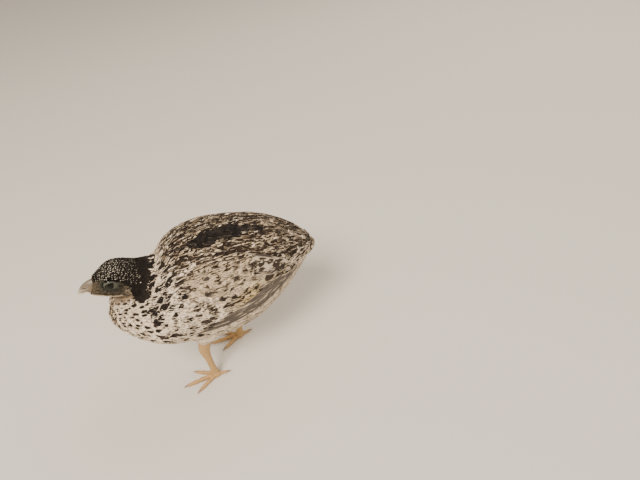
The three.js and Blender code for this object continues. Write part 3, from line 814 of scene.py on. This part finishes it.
def feather_material(name, barbs, depth, roughness, sheen):
    """Feather keratin: soft vane of barbs that run slantwise from the shaft. The ground and mark colours
    meet in the plumage's spots and streaks, laid along the body, and in each feather's own edge or tip;
    the barbs' ridges show as fine slanting lines in relief and as a painted highlight along each ridge,
    and each feather is painted darker towards its root as shade."""
    tree = new_material(name)

    def maths(operation, a, b=0.0, c=0.0, clamp=False):
        settings = {"operation": operation, "use_clamp": clamp}
        return add(tree, "ShaderNodeMath", settings, {0: a, 1: b, 2: c}).outputs[0]

    def minus(a, b):
        return maths("SUBTRACT", a, b)

    def times(a, b, clamp=False):
        return maths("MULTIPLY", a, b, clamp=clamp)

    def times_plus(a, b, c):
        return maths("MULTIPLY_ADD", a, b, c)

    def larger(a, b):
        return maths("MAXIMUM", a, b)

    def parts(vector):
        return add(tree, "ShaderNodeSeparateXYZ", inputs={0: vector}).outputs

    def laid(long, wide):
        """The plumage's coordinates in units of long by wide millimetres."""
        inputs = {"Vector": read(tree, "lay", "Vector"), "Scale": (1 / long, 1 / wide, 0.0)}
        return add(tree, "ShaderNodeMapping", inputs=inputs).outputs[0]

    def strands(long, wide, detail, roughness=0.5):
        """Flat noise drawn out to long by wide millimetres."""
        inputs = {"Vector": laid(long, wide), "Scale": 1.0, "Detail": detail, "Roughness": roughness}
        return add(tree, "ShaderNodeTexNoise", {"noise_dimensions": "2D"}, inputs).outputs["Fac"]

    u, v, _ = parts(add(tree, "ShaderNodeUVMap", {"uv_map": "vane"}).outputs["UV"])
    spots, streaks, edges = parts(read(tree, "shape", "Vector"))
    drift = minus(noise(tree, 1.6, 2.0), 0.5)

    # Hair-fine barbs run together: 7 mm long and 0.5 mm wide.
    fine = minus(strands(7.0, 0.5, 1.0), 0.5)

    # Spots: one in most cells, 6 mm long and 6.6 mm wide.
    cell = add(tree, "ShaderNodeTexVoronoi", {"voronoi_dimensions": "2D"},
               {"Vector": laid(6.0, 6.6), "Scale": 1.0, "Randomness": 0.75})
    chance = parts(cell.outputs["Color"])[0]
    room = times(spots, times_plus(chance, 0.6, 0.7))
    loose = times_plus(fine, 0.14, times(drift, 0.2))
    spot = times(minus(maths("ADD", loose, room), cell.outputs["Distance"]), 11.0, clamp=True)

    # Streaks: 10 mm long and 1.5 mm wide.
    wave = maths("ADD", times_plus(fine, 0.35, strands(10.0, 1.5, 2.0, 0.6)), streaks)
    streak = times(minus(wave, 1.0), 14.0, clamp=True)

    # A feather's own edge, or below -2 a spot at its tip.
    signed = times_plus(u, 2.0, -1.0)
    across = maths("ABSOLUTE", signed)
    rim = minus(larger(across, maths("POWER", v, 4.0)), minus(1.0, edges))
    edge = times(maths("ADD", rim, times(drift, 0.3)), 7.0, clamp=True)
    from_tip = times_plus(v, 2.4, -2.0)
    far = maths("SQRT", maths("ADD", times(signed, signed), times(from_tip, from_tip)))
    tip = times(minus(minus(-2.0, edges), far), 7.0, clamp=True)
    marked = larger(larger(spot, streak), larger(edge, tip))

    # The barbs' ridges: their height raises the relief, and the colour is painted lighter along each ridge
    # as a painted highlight. Fine and drifting noise vary the tone.
    slant = minus(times(v, barbs), times(across, barbs * 0.35))
    ridge = maths("SINE", times(slant, 2 * math.pi))
    light = maths("ADD", times_plus(ridge, 0.08, 0.97), times_plus(fine, 0.5, times(drift, 0.3)))
    # Darker towards each feather's root: painted shade where the feathers above would shade it.
    root = times_plus(times(v, 2.2, clamp=True), 0.3, 0.7)
    colour = mixed(tree, marked, read(tree, "ground"), read(tree, "mark"))
    end_with_shader(tree, {
        "Base Color": lit_by(tree, colour, times(light, root)), "Roughness": roughness,
        "Specular IOR Level": 0.25, "Sheen Weight": sheen, "Sheen Roughness": 0.5,
        "Normal": relief(tree, ridge, 0.5, depth)})


def grained_material(name, size, detail, bump, look, tones=None, colours=None, squeeze=(1.0, 1.0, 1.0)):
    """A grain of a size in millimetres, raised by bump's strength and depth. It takes the colour from the
    first of two colours to the second or, without them, the painted ground from tones[0] to tones[1]
    times as light."""
    tree = new_material(name)
    grain = noise(tree, size, detail, squeeze)
    if colours:
        colour = mixed(tree, grain, rgba(colours[0]), rgba(colours[1]))
    else:
        light = add(tree, "ShaderNodeMapRange", inputs={0: grain, 3: tones[0], 4: tones[1]}).outputs[0]
        colour = lit_by(tree, read(tree, "ground"), light)
    end_with_shader(tree, {"Base Color": colour, "Normal": relief(tree, grain, *bump), **look})


def make_materials():
    """All finishes, each named for what the real thing is."""
    # Feathers: soft and coarse on the body, all but flat on the face, close and a little smoother in flight
    # feathers.
    feather_material("contour feathers", 9.0, 0.1, 0.8, 0.05)
    feather_material("face feathers", 3.0, 0.03, 0.85, 0.04)
    feather_material("flight feathers", 34.0, 0.1, 0.62, 0.04)

    # Bird skin, thin and matt, seen only between feathers, where its darkened ground is painted shade.
    grained_material("skin", 0.6, 3.0, (0.6, 0.2), {"Roughness": 0.9, "Specular IOR Level": 0.2},
                     tones=(0.75, 1.2))

    # Eyelids: matt olive-grey, finely wrinkled.
    grained_material("lid skin", 0.5, 4.0, (0.4, 0.1), {"Roughness": 0.8}, colours=("#3A3C34", "#585B4E"))

    # Scaly legs: pale tan in soft patches, with a low shine on the scutes.
    grained_material("leg skin", 2.0, 4.0, (0.4, 0.1), {"Roughness": 0.55}, colours=("#A07C4E", "#CDA872"))

    # Claws: brown horn, smoother than the legs.
    grained_material("claw horn", 1.5, 4.0, (0.4, 0.1), {"Roughness": 0.35}, colours=("#6B5643", "#B9976F"))

    # Beak: smooth horn, dark along the ridge and pale at the cutting edge, with faint lengthwise streaks.
    grained_material("beak horn", 0.7, 4.0, (0.3, 0.1), {"Roughness": 0.38, "IOR": 1.54},
                     tones=(0.8, 1.2), squeeze=(0.3, 1.0, 1.0))

    # Eye: a wet cornea, near black, with a dark olive iris round the pupil.
    tree = new_material("eye")
    end_with_shader(tree, {
        "Base Color": read(tree, "ground"), "Roughness": 0.05, "IOR": 1.36, "Specular IOR Level": 0.35})

    # Floor: a plain matt studio board.
    end_with_shader(new_material("studio board"), {"Base Color": rgba("#DDD9D3"), "Roughness": 0.9})


# Camera: its place and turn, worked out from the photo's horizon and the body's size in it.
CAMERA = {"at": (0.0, -267.75, 290.5), "heading": math.radians(-17.22), "down": math.radians(37),
          "roll": math.radians(-6.8), "lens": 28.125}


def make_camera():
    """Level axes turned by the heading about Z and tipped down, then rolled about the view."""
    data = bpy.data.cameras.new("camera")
    data.lens = CAMERA["lens"]
    data.sensor_width = 36.0
    data.clip_start = 0.01
    data.clip_end = 20.0
    camera = put_in("camera", data)
    turn = Matrix.Rotation(CAMERA["heading"], 3, "Z")
    down = CAMERA["down"]
    right = turn @ Vector((1, 0, 0))
    up = turn @ Vector((0, math.sin(down), math.cos(down)))
    forward = turn @ Vector((0, math.cos(down), -math.sin(down)))
    c, s = math.cos(CAMERA["roll"]), math.sin(CAMERA["roll"])
    axes = Matrix((c * right + s * up, -s * right + c * up, -forward)).transposed()
    camera.matrix_world = Matrix.Translation(to_frame(np.array(CAMERA["at"]))) @ axes.to_4x4()
    bpy.context.scene.camera = camera


# Lamps, in metres and watts: a large soft one above and in front, and a weaker one behind.
LAMPS = [
    {"name": "key", "at": (-0.5, -0.7, 1.1), "size": 0.5, "power": 24.0},
    {"name": "fill", "at": (0.9, 0.5, 0.9), "size": 1.2, "power": 8.0},
]
LAMPS_AIM = (0, 0, 0.06)


def make_light():
    """The lamps, all turned to the bird's middle, and a pale surround."""
    for lamp in LAMPS:
        data = bpy.data.lights.new(lamp["name"], "AREA")
        data.size = lamp["size"]
        data.energy = lamp["power"]
        data.color = linear("#FFF2E2")
        made = put_in(lamp["name"], data)
        made.location = lamp["at"]
        aim = Vector(LAMPS_AIM) - Vector(lamp["at"])
        made.rotation_euler = aim.to_track_quat("-Z", "Y").to_euler()
    world = bpy.data.worlds.new("surround")
    world.use_nodes = True
    light = world.node_tree.nodes["Background"].inputs
    light["Color"].default_value = rgba("#F3E6D3")
    light["Strength"].default_value = 0.75
    bpy.context.scene.world = world


def make_floor():
    """A plain floor, 4 m square."""
    mesh = bpy.data.meshes.new("floor")
    mesh.from_pydata([(-2, -2, 0), (2, -2, 0), (2, 2, 0), (-2, 2, 0)], [], [(0, 1, 2, 3)])
    mesh.materials.append(MATERIALS["studio board"])
    put_in("floor", mesh)


def crown_dots(p, draws):
    """Crown feathers with a white tip spot, smaller and fainter towards the nape."""
    count = len(p)
    tone = draws[:, 2]
    ground = np.tile(TINTS["black"], (count, 1))
    faint = ramp(p[:, 0], -52, -38)
    mark = blend(TINTS["dot"], TINTS["cheek"], (0.3 * tone + 0.4 * faint)[:, None])
    tip = 0.5 - 0.2 * faint + 0.14 * draws[:, 1]
    none = np.full(count, -1.0)
    return ground, mark, np.stack([none, none, -2 - tip, tone], -1)


def wisp_look(p, draws):
    """Single loose barbs: of the ground colour or, a little more often on dark feathers, of the mark
    colour."""
    ground, mark, shape = markings(p, draws)
    flip = draws[:, 3] < np.where(ground.mean(-1) < 0.1, 0.25, 0.2)
    shape[:, :3] = [-1.0, 0.0, -1.0]
    return np.where(flip[:, None], mark, ground), mark, shape


def wing_point(p, q, lift, sign):
    """The point at p and q of the folded wing, lift off the body; the left wing is at negative Y."""
    s = WING["wrist"] + WING["reach"] * p
    angle = np.radians(blend(along(WING["low"], p), along(WING["high"], p), q))
    x = MIDDLE - REACH * np.cos(math.pi * s)
    _, wide, high, middle = body_section(x)
    at = np.stack([x, -wide * np.sin(angle), middle + high * np.cos(angle)], -1)
    at = at + unit(gradient(body_field, at)) * lift[..., None]
    return at * np.array([1.0, -sign, 1.0])


# Rows and columns of a flight feather's points.
VANE = (12, 7)

# Flight feathers of one wing, laid from the body outwards. Roots and tips are shares p of the wing.
FLIGHT = [
    {"name": "primaries", "count": 8, "root": 0.2, "tip": (0.83, 1.0), "low": 0.0, "high": 0.32,
     "half_width": 3.0, "lift": (0.5, 1.3), "stack": 0.12},
    {"name": "secondaries", "count": 11, "root": 0.4, "tip": (0.74, 0.88), "low": 0.3, "high": 0.88,
     "half_width": 3.9, "lift": (0.6, 1.7), "stack": 0.04},
]


def web(t, half_width):
    """Half width of a flight feather at t: half_width (0.6 + 0.4 rise) (1 - t^6)^0.5."""
    return half_width * (0.6 + 0.4 * ramp(t, 0, 0.3)) * np.maximum(1 - t ** 6, 0.003) ** 0.5


def flight_tier(tier, sign, rng):
    """The vanes of one tier: each line of points runs from root to tip at its share q, the web spreads
    across it, and one edge is raised so that they lie like shingles."""
    t, c, low = vane_grid(*VANE)
    count = tier["count"]
    share = np.linspace(0, 1, count)[:, None]
    loose = rng.random((count, 3)) - 0.5
    q = blend(tier["low"], tier["high"], share)
    tip = blend(*tier["tip"], share if tier["name"] != "primaries" else 1 - share ** 1.3)
    tip = tip + 0.02 * loose[:, :1]
    p = blend(tier["root"], tip, t[None])
    edges = [wing_point(p, np.full_like(p, edge), 0 * p, -1) for edge in (0.0, 1.0)]
    span = np.linalg.norm(edges[0] - edges[1], axis=-1)
    jag = 1 + 0.05 * (rng.random((count, len(t))) - 0.5)
    settled = 0.5 + (q - 0.5) * 0.92
    out = (web(t, tier["half_width"]) * c)[None] * jag
    line = blend(q, settled, t[None]) + out / np.maximum(span, 12.0)
    rise = blend(tier["lift"][0], tier["lift"][1] + 0.3 * loose[:, 1:2], t[None] ** 0.8)
    rise = rise + tier["stack"] * share * count * 0.5
    rise = rise + 0.3 * c[None] + 0.35 * (1 - c ** 2)[None] - 0.3 * low[None]
    place = np.concatenate([q, np.full_like(q, tier["root"])], 1)
    return wing_point(p, line, rise, sign), place


def flight_look(name, points, rng):
    """Primaries are grey-brown with pale streaks and edges; secondaries carry the flank's markings with a
    quarter of grey-brown in their ground."""
    count = len(points)
    tone = rng.random((count, 1))
    slate = blend(TINTS["slate"], TINTS["slate_dark"], 0.8 * tone)
    if name == "primaries":
        none = np.full((count, 1), -1.0)
        mark = np.tile(TINTS["cream"], (count, 1))
        return slate, mark, np.hstack([none, none + 1.38, none + 1.14 + 0.08 * tone, tone])
    ground, mark, shape = markings(points, rng.random((count, 1, 5)))
    shape[..., 3] = tone
    return blend(ground, slate[:, None], 0.25), mark, shape


def make_wing(side, sign):
    """One folded wing's tiers of flight feathers."""
    rng = np.random.default_rng(SEEDS[f"{side} wing"])
    for tier in FLIGHT:
        points, place = flight_tier(tier, sign, rng)
        look = flight_look(tier["name"], points, rng)
        piece = feathers_piece(f"{tier['name']}_{side}", points, *VANE, *look, place)
        dress(piece, "flight feathers", "flight_feathers", f"wing_{side}")


def make_tail():
    """A flat fan of tail feathers out of the rump: each at its turn, drooping, the outer ones hanging."""
    t, c, low = vane_grid(*VANE)
    count = TAIL["count"]
    rng = np.random.default_rng(SEEDS["tail"])
    side = np.linspace(-1, 1, count)[:, None]
    turn = TAIL["spread"] / 2 * side
    length = TAIL["length"] - TAIL["shorter"] * side ** 2
    reach = TAIL["buried"] + (length - TAIL["buried"]) * t[None]
    across = (web(t, TAIL["half_width"]) * c)[None] * (1 + 0.06 * (rng.random((count, len(t))) - 0.5))
    out = reach * np.cos(turn) - across * np.sin(turn)
    y = reach * np.sin(turn) + across * np.cos(turn)
    rise = 0.3 * (1 - c ** 2)[None] - 0.3 * low[None] - TAIL["hang"] * y ** 2
    rise = rise - 0.22 * np.abs(side) * count / 2 + 0.25 * c[None] * -np.sign(side)
    cos, sin = math.cos(TAIL["droop"]), math.sin(TAIL["droop"])
    points = np.stack([TAIL["x"] + out * cos + rise * sin, y, TAIL["z"] - out * sin + rise * cos], -1)
    tone = rng.random(count)
    none = np.full(count, -1.0)
    ground = blend(TINTS["brown"], TINTS["slate_dark"], (0.5 * tone)[:, None])
    mark = np.tile(TINTS["cream"], (count, 1))
    shape = np.stack([none, none + 1.48, none + 1.1, tone], -1)
    place = np.concatenate([0.5 + side * 0.4, np.full_like(side, 0.3)], 1)
    piece = feathers_piece("tail_fan", points, *VANE, ground, mark, shape, place)
    dress(piece, "flight feathers", "flight_feathers", "tail")


def thigh_path(leg):
    """The stations of the feathered thigh's middle, from inside the body to above the hock."""
    knee, hock = leg["knee"], leg["hock"]
    y = leg["sign"] * LEG_SIDE * np.array(THIGH["out"])
    return np.stack([[knee + 1, knee, (knee + hock) / 2, hock + 3.0], y, THIGH["z"]], -1)


def thigh_section(leg, z):
    """The thigh's middle and radius at height z."""
    path = thigh_path(leg)[::-1]
    middle = np.stack([np.interp(z, path[:, 2], path[:, k]) for k in range(3)], -1)
    return middle, np.interp(z, path[:, 2], THIGH["radius"][::-1])


def thigh_field(leg):
    """The field of the body run together with one thigh, a tube of changing radius about its path."""
    def thigh(p):
        middle, radius = thigh_section(leg, np.clip(p[..., 2], THIGH["z"][-1], THIGH["z"][0]))
        return np.linalg.norm(p - middle, axis=-1) - radius

    return lambda p: join(field(p), thigh(p), THIGH["round_by"])


def make_thigh(leg):
    """One thigh: its skin, a closed tube that starts inside the body, and its coat of small pale
    feathers."""
    rows, around = 40, 40
    middle, radius = thigh_section(leg, np.linspace(THIGH["z"][0], THIGH["z"][-1], rows))
    turn = turns(around)
    ring = np.stack([np.cos(turn), np.sin(turn), 0 * turn], -1)
    grid = middle[:, None] + ring[None] * (radius - THIGH["skin_depth"])[:, None, None]
    skin = tube_piece(f"thigh_skin_{leg['name']}", grid)
    # The thigh's skin: cream darkened as painted shade between its feathers.
    paint(skin, "ground", np.tile(TINTS["cream"] * SKIN_PAINTED_SHADE, (rows * around + 2, 1)))
    dress(skin, "skin", "body_feathers", f"thigh_{leg['name']}")
    path = thigh_path(leg)
    down = unit(path[-1] - path[1]) + np.array([0.25, 0.0, 0.0])

    def thigh_look(p, draws):
        ground = blend(TINTS["cream"], TINTS["white"], draws[:, 2:3])
        none = np.full(len(p), -1.0)
        spot = np.where(draws[:, 0] < 0.12, 0.5, none)
        mark = np.tile(TINTS["brown"], (len(p), 1))
        return ground, mark, np.stack([spot, none, none, draws[:, 2]], -1)

    sown = sow(grid, evenly(COAT["thigh_spacing"]), SEEDS[f"{leg['name']} thigh"],
               lambda p: field(p) > -1.5)
    fluff = coat(f"thigh_coat_{leg['name']}", *sown, 4, 5, slimness=0.5, lift=0.3,
                 surface=thigh_field(leg), length_at=lambda p: 3.2 + 3.5 * ramp(p[..., 2], 38, 52),
                 lie_at=lambda p, n: flattened(down, n), look_at=thigh_look)
    dress(fluff, "contour feathers", "body_feathers")


def swept(path, wide, high, around, level):
    """Oval rings square to a path: centre + level wide cos + up high sin, where up is square to both."""
    ahead = unit(np.gradient(path, axis=0))
    level = flattened(level, ahead)
    up = np.cross(ahead, level)
    turn = turns(around)
    return (path[:, None] + level[:, None] * (wide[:, None] * np.cos(turn))[..., None]
            + up[:, None] * (high[:, None] * np.sin(turn))[..., None]), turn


def saw(x):
    """A row of overlapping scutes: rises over each pitch and drops at its end."""
    f = x - np.floor(x)
    return f ** 0.6 * (1 - ramp(f, 0.86, 1.0))


def smoothed(values, reach, **edges):
    """Running mean of values over reach to each side."""
    wide = 2 * reach + 1
    return np.convolve(np.pad(values, reach, **edges), np.ones(wide) / wide, mode="valid")


def make_leg(leg):
    """Bare leg from above the hock to the ball of the foot: scutes down the front, fine scales behind."""
    y = leg["sign"] * LEG_SIDE
    z = np.linspace(LEG_LOW, LEG_TOP, 190)
    radius = smoothed(np.interp(z, SHANK["z"], SHANK["radius"]), 6, mode="edge")
    x = np.interp(z, [0, HOCK_HEIGHT, LEG_TOP], [leg["foot"], leg["hock"], leg["hock"] + 5])
    x = smoothed(x, 12, mode="reflect", reflect_type="odd")
    path = np.stack([x, np.interp(z, [0, 32, LEG_TOP], [y, y, y * 1.06]), z], -1)
    rings, turn = swept(path, radius * 0.88, radius * 1.12, 40, ACROSS)
    out = unit(rings - path[:, None])
    z = z[:, None]
    front = ramp(-out[..., 0], 0.15, 0.6) * (1 - ramp(z, 27, 31))
    scute = 0.26 * saw(z / SHANK["scute"]) * front
    cells = np.sin(z * 2 * math.pi / SHANK["cell"]) * np.sin(turn[None] * 13 + z * 2.2)
    rings = rings + out * (scute + 0.06 * cells * (1 - front))[..., None]
    piece = tube_piece(f"leg_{leg['name']}", rings)
    dress(piece, "leg skin", "leg_skin", f"shank_{leg['name']}")


def foot_place(leg):
    """The middle of the foot, on the floor."""
    return np.array([leg["foot"], leg["sign"] * LEG_SIDE, 0.0])


def make_toe(leg, toe):
    """One toe: swollen between its joints, with scutes on top and flat pads on the floor, and its claw."""
    turn = math.radians(toe["turn"]) * leg["sign"]
    way = np.array([-math.cos(turn), math.sin(turn), 0.0])
    level = np.array([-way[1], way[0], 0.0])
    t = np.linspace(-0.04, 1, 90)
    path = foot_place(leg) + way * (toe["length"] * t)[:, None]
    path[:, 2] = blend(toe["radius"] * 1.1, 1.0, np.clip(t, 0, 1))
    swell = 1 + 0.1 * np.cos(t * toe["joints"] * 2 * math.pi)
    close = np.maximum(1 - np.clip((t - 0.9) / 0.1, 0, 1) ** 2, 0.02) ** 0.5
    radius = toe["radius"] * (1 - 0.3 * t) * swell * blend(0.55, 1.0, close)
    rings, _ = swept(path, radius, radius, 26, level)
    out = unit(rings - path[:, None])
    top = ramp(out[..., 2], 0.1, 0.6)
    rings = rings + out * (0.17 * saw(t * toe["length"] / TOE_SCUTE)[:, None] * top)[..., None]
    rings[..., 2] = np.maximum(rings[..., 2], 0.03)
    piece = tube_piece(f"toe_{leg['name']}_{toe['name']}", rings)
    dress(piece, "leg skin", "leg_skin", f"foot_{leg['name']}")

    u = np.linspace(0, 1, 24)
    path = foot_place(leg) + way * (toe["length"] - CLAW["sunk"] + CLAW["length"] * u)[:, None]
    path[:, 2] = 1.25 + 0.25 * np.sin(u * 2.2) - 0.95 * u ** 2
    thin = CLAW["radius"] * (1 - u ** 1.6) + 0.06
    rings, _ = swept(path, thin * 0.8, thin, 16, level)
    rings[..., 2] = np.maximum(rings[..., 2], 0.05)
    claw = tube_piece(f"claw_{leg['name']}_{toe['name']}", rings)
    dress(claw, "claw horn", "claw_horn", f"claw_{leg['name']}_{toe['name']}")


def make_foot_ball(leg):
    """The ball of the foot: a flattened round pad where the toes meet."""
    z = np.linspace(0.05, 4.4, 22)
    radius = 3.1 * np.sqrt(np.maximum(1 - ((z - 1.6) / 3.1) ** 2, 0.02))
    path = np.tile(foot_place(leg), (len(z), 1))
    path[:, 2] = z
    rings, _ = swept(path, radius * 0.95, radius * 1.05, 32, ACROSS)
    piece = tube_piece(f"foot_ball_{leg['name']}", rings)
    dress(piece, "leg skin", "leg_skin")


def make_beak():
    """Upper and lower beak: rings along the head between a ridge line and the mouth line. The upper one
    is hooked and has a nostril slit with a hood over it."""
    for name, tip in (("upper", BEAK["tip"]), ("lower", BEAK["lower_tip"])):
        upper = name == "upper"
        t = np.linspace(0, 1, 60) ** 0.85
        turn = turns(48)
        a = blend(BEAK["root"], tip, t)[:, None]
        narrow = np.maximum(1 - t ** 1.6, 0.0) ** 0.8
        mouth = BEAK["mouth"] - BEAK["tip_drop"] * t * t
        if upper:
            low = mouth - BEAK["hook"] * t ** 5
            high = blend(mouth - 0.4, BEAK["culmen"], np.maximum(1 - t ** 2.3, 0.0) ** 0.8)
        else:
            high = mouth - BEAK["gap"]
            low = blend(high - 0.7, BEAK["chin"], narrow)
        wide = np.maximum(BEAK["half_width"] * (1.0 if upper else 0.86) * narrow, 0.35)
        round_share = (np.cos(turn) + 1) / 2
        full = 1 - 0.35 * round_share if upper else 0.65 + 0.35 * round_share
        b = blend(low[:, None], high[:, None], round_share)
        y = wide[:, None] * np.sin(turn) * full
        if upper:
            ahead = a - NOSTRIL["a"]
            slit = np.hypot(ahead / NOSTRIL["long"],
                            (b - NOSTRIL["b"] - NOSTRIL["slope"] * ahead) / NOSTRIL["high"])
            hood = np.hypot((a - HOOD["a"]) / HOOD["long"], (b - HOOD["b"]) / HOOD["high"])
            y = y * (1 - 0.3 * (1 - ramp(slit, 0.5, 1.1)) + 0.1 * (1 - ramp(hood, 0.4, 1.1)))
        piece = tube_piece(f"beak_{name}_horn", head_point(a, b, y))
        tone = ramp(b, -3.0, 1.4) if upper else 0.25 * ramp(b, -2.2, -4.2)
        ground = blend(linear("#B9AA92"), linear("#6F6354"), tone[..., None])
        if upper:
            # Near black inside the nostril slit: painted shade of its opening.
            ground = blend(linear("#1B1512"), ground, ramp(slit, 0.55, 1.0)[..., None])
        paint(piece, "ground", np.concatenate([ground.reshape(-1, 3), ground[0, :2]]))
        dress(piece, "beak horn", "beak_horn", f"beak_{name}")


def make_eyeball(side, sign):
    """The eyeball, with pupil, iris and dark rim by angle from its outward axis."""
    polar = np.linspace(0.001, math.pi - 0.001, 60)[:, None]
    turn = turns(64)
    flat = EYE["radius"] * np.sin(polar)
    y = sign * (EYE["y"] + EYE["radius"] * np.cos(polar))
    rings = head_point(EYE["a"] + flat * np.cos(turn), EYE["b"] + flat * np.sin(turn), y)
    ball = tube_piece(f"eyeball_{side}", rings)
    iris = ramp(polar, 0.36, 0.42) * (1 - ramp(polar, 0.62, 0.8))
    colour = blend(linear("#060605"), linear("#1B1A0E"), 0.8 * iris)
    around = np.repeat(colour, len(turn), axis=0)
    paint(ball, "ground", np.concatenate([around, colour[:1], colour[-1:]]))
    dress(ball, "eye", "eye", f"eye_{side}")


def make_lids(side, sign):
    """The ring of the lids: an oval rim of round section lying on the ball, wider above, its outer side
    drawn in, most of all under the brow."""
    around = turns(96)[:, None]
    profile = turns(20)
    upper = np.maximum(np.sin(around), 0)
    wrinkle = 1 + 0.06 * np.sin(around * 24) * np.cos(profile)
    reach = blend(LIDS["lower"], LIDS["upper"], upper) * (1 + np.cos(profile)) * wrinkle
    off_a = (EYE["open_wide"] + reach) * np.cos(around)
    off_b = (EYE["open_high"] + reach) * np.sin(around)
    drawn_in = (0.5 + 0.5 * np.cos(profile)) * (0.1 + 0.9 * upper)
    height = LIDS["thick"] * np.sin(profile) * wrinkle - drawn_in
    shell = EYE["radius"] + LIDS["off_ball"]
    flat = np.hypot(off_a, off_b)
    brim = math.sqrt(shell ** 2 - LIDS["dome"] ** 2) - (flat - LIDS["dome"]) * LIDS["slope"]
    dome = np.where(flat < LIDS["dome"], np.sqrt(np.maximum(shell ** 2 - flat ** 2, 0.0)), brim)
    rings = head_point(EYE["a"] + off_a, EYE["b"] + off_b, sign * (EYE["y"] + dome + height))
    quads = grid_faces(len(around), len(profile), closed=True, ring=True)
    lids = mesh_piece(f"lids_{side}", rings.reshape(-1, 3), quads.ravel(), np.full(len(quads), 4))
    dress(lids, "lid skin", "head_feathers")


def streaky(p):
    """True on the body where the plumage is streaked."""
    _, _, shape = markings(p, np.full(5, 0.5))
    return (feather_length(p) > COAT["wisps_above"]) & (shape[:, 1] > 0.1)


def on_crown(p):
    """True on the crown and a little below its edge, clear of the beak and the lids."""
    over = p[:, 2] - np.interp(p[:, 0], *CROWN_LINE)
    above = (over > -0.7 * ramp(p[:, 0], -49, -53)) & (p[:, 0] < -38)
    return above & beak_clear(p) & (eye_clear(p) > 1.3)


def make_coat(points):
    """Contour feathers over the skin's grid, small ones on the head and larger ones on the body, then the
    loose barbs among them and the crown's dotted feathers."""
    roots, place, draws = sow(points, lambda p: COAT["spacing"] * feather_length(p), SEEDS["coat"])
    keep = ((eye_clear(roots) > 1.0) | (head_field(roots) > 2)) & beak_clear(roots)
    small = feather_length(roots) < COAT["head_below"]
    left = roots[:, 1] < 0
    rear = roots[:, 0] >= COAT["rear_from"]
    high = roots[:, 2] > COAT["back_above"]
    for side, chosen in (("left", left), ("right", ~left)):
        which = keep & small & chosen
        piece = coat(f"head_coat_{side}", roots[which], place[which], draws[which], 3, 3, slimness=0.5,
                     lift=0.25, length_at=face_length)
        dress(piece, "face feathers", "head_feathers")
    for part, chosen in (("front", ~rear), ("back", rear & high), ("belly", rear & ~high)):
        which = keep & ~small & chosen
        piece = coat(f"body_coat_{part}", roots[which], place[which], draws[which], 5, 5)
        dress(piece, "contour feathers", "body_feathers")

    wisps = sow(points, lambda p: COAT["wisp_spacing"] * feather_length(p), SEEDS["loose barbs"], streaky)
    piece = coat("loose_barbs", *wisps, 4, 2, slimness=0.045, ragged=0.5, lift=0.55, thickness=0.1,
                 look_at=wisp_look)
    dress(piece, "contour feathers", "body_feathers")
    dots = sow(points, evenly(COAT["dot_spacing"]), SEEDS["crown dots"], on_crown)
    piece = coat("crown_dots", *dots, 4, 5, slimness=0.5, lift=0.5, look_at=crown_dots)
    dress(piece, "face feathers", "head_feathers")


make_camera()
make_materials()
make_light()
make_floor()

skin_points = skin_grid()
make_skin(skin_points)
make_coat(skin_points)
make_beak()
for side, sign in (("left", -1), ("right", 1)):
    make_eyeball(side, sign)
    make_lids(side, sign)
    make_wing(side, sign)
make_tail()
for leg in LEGS:
    make_thigh(leg)
    make_leg(leg)
    make_foot_ball(leg)
    for toe in TOES:
        make_toe(leg, toe)
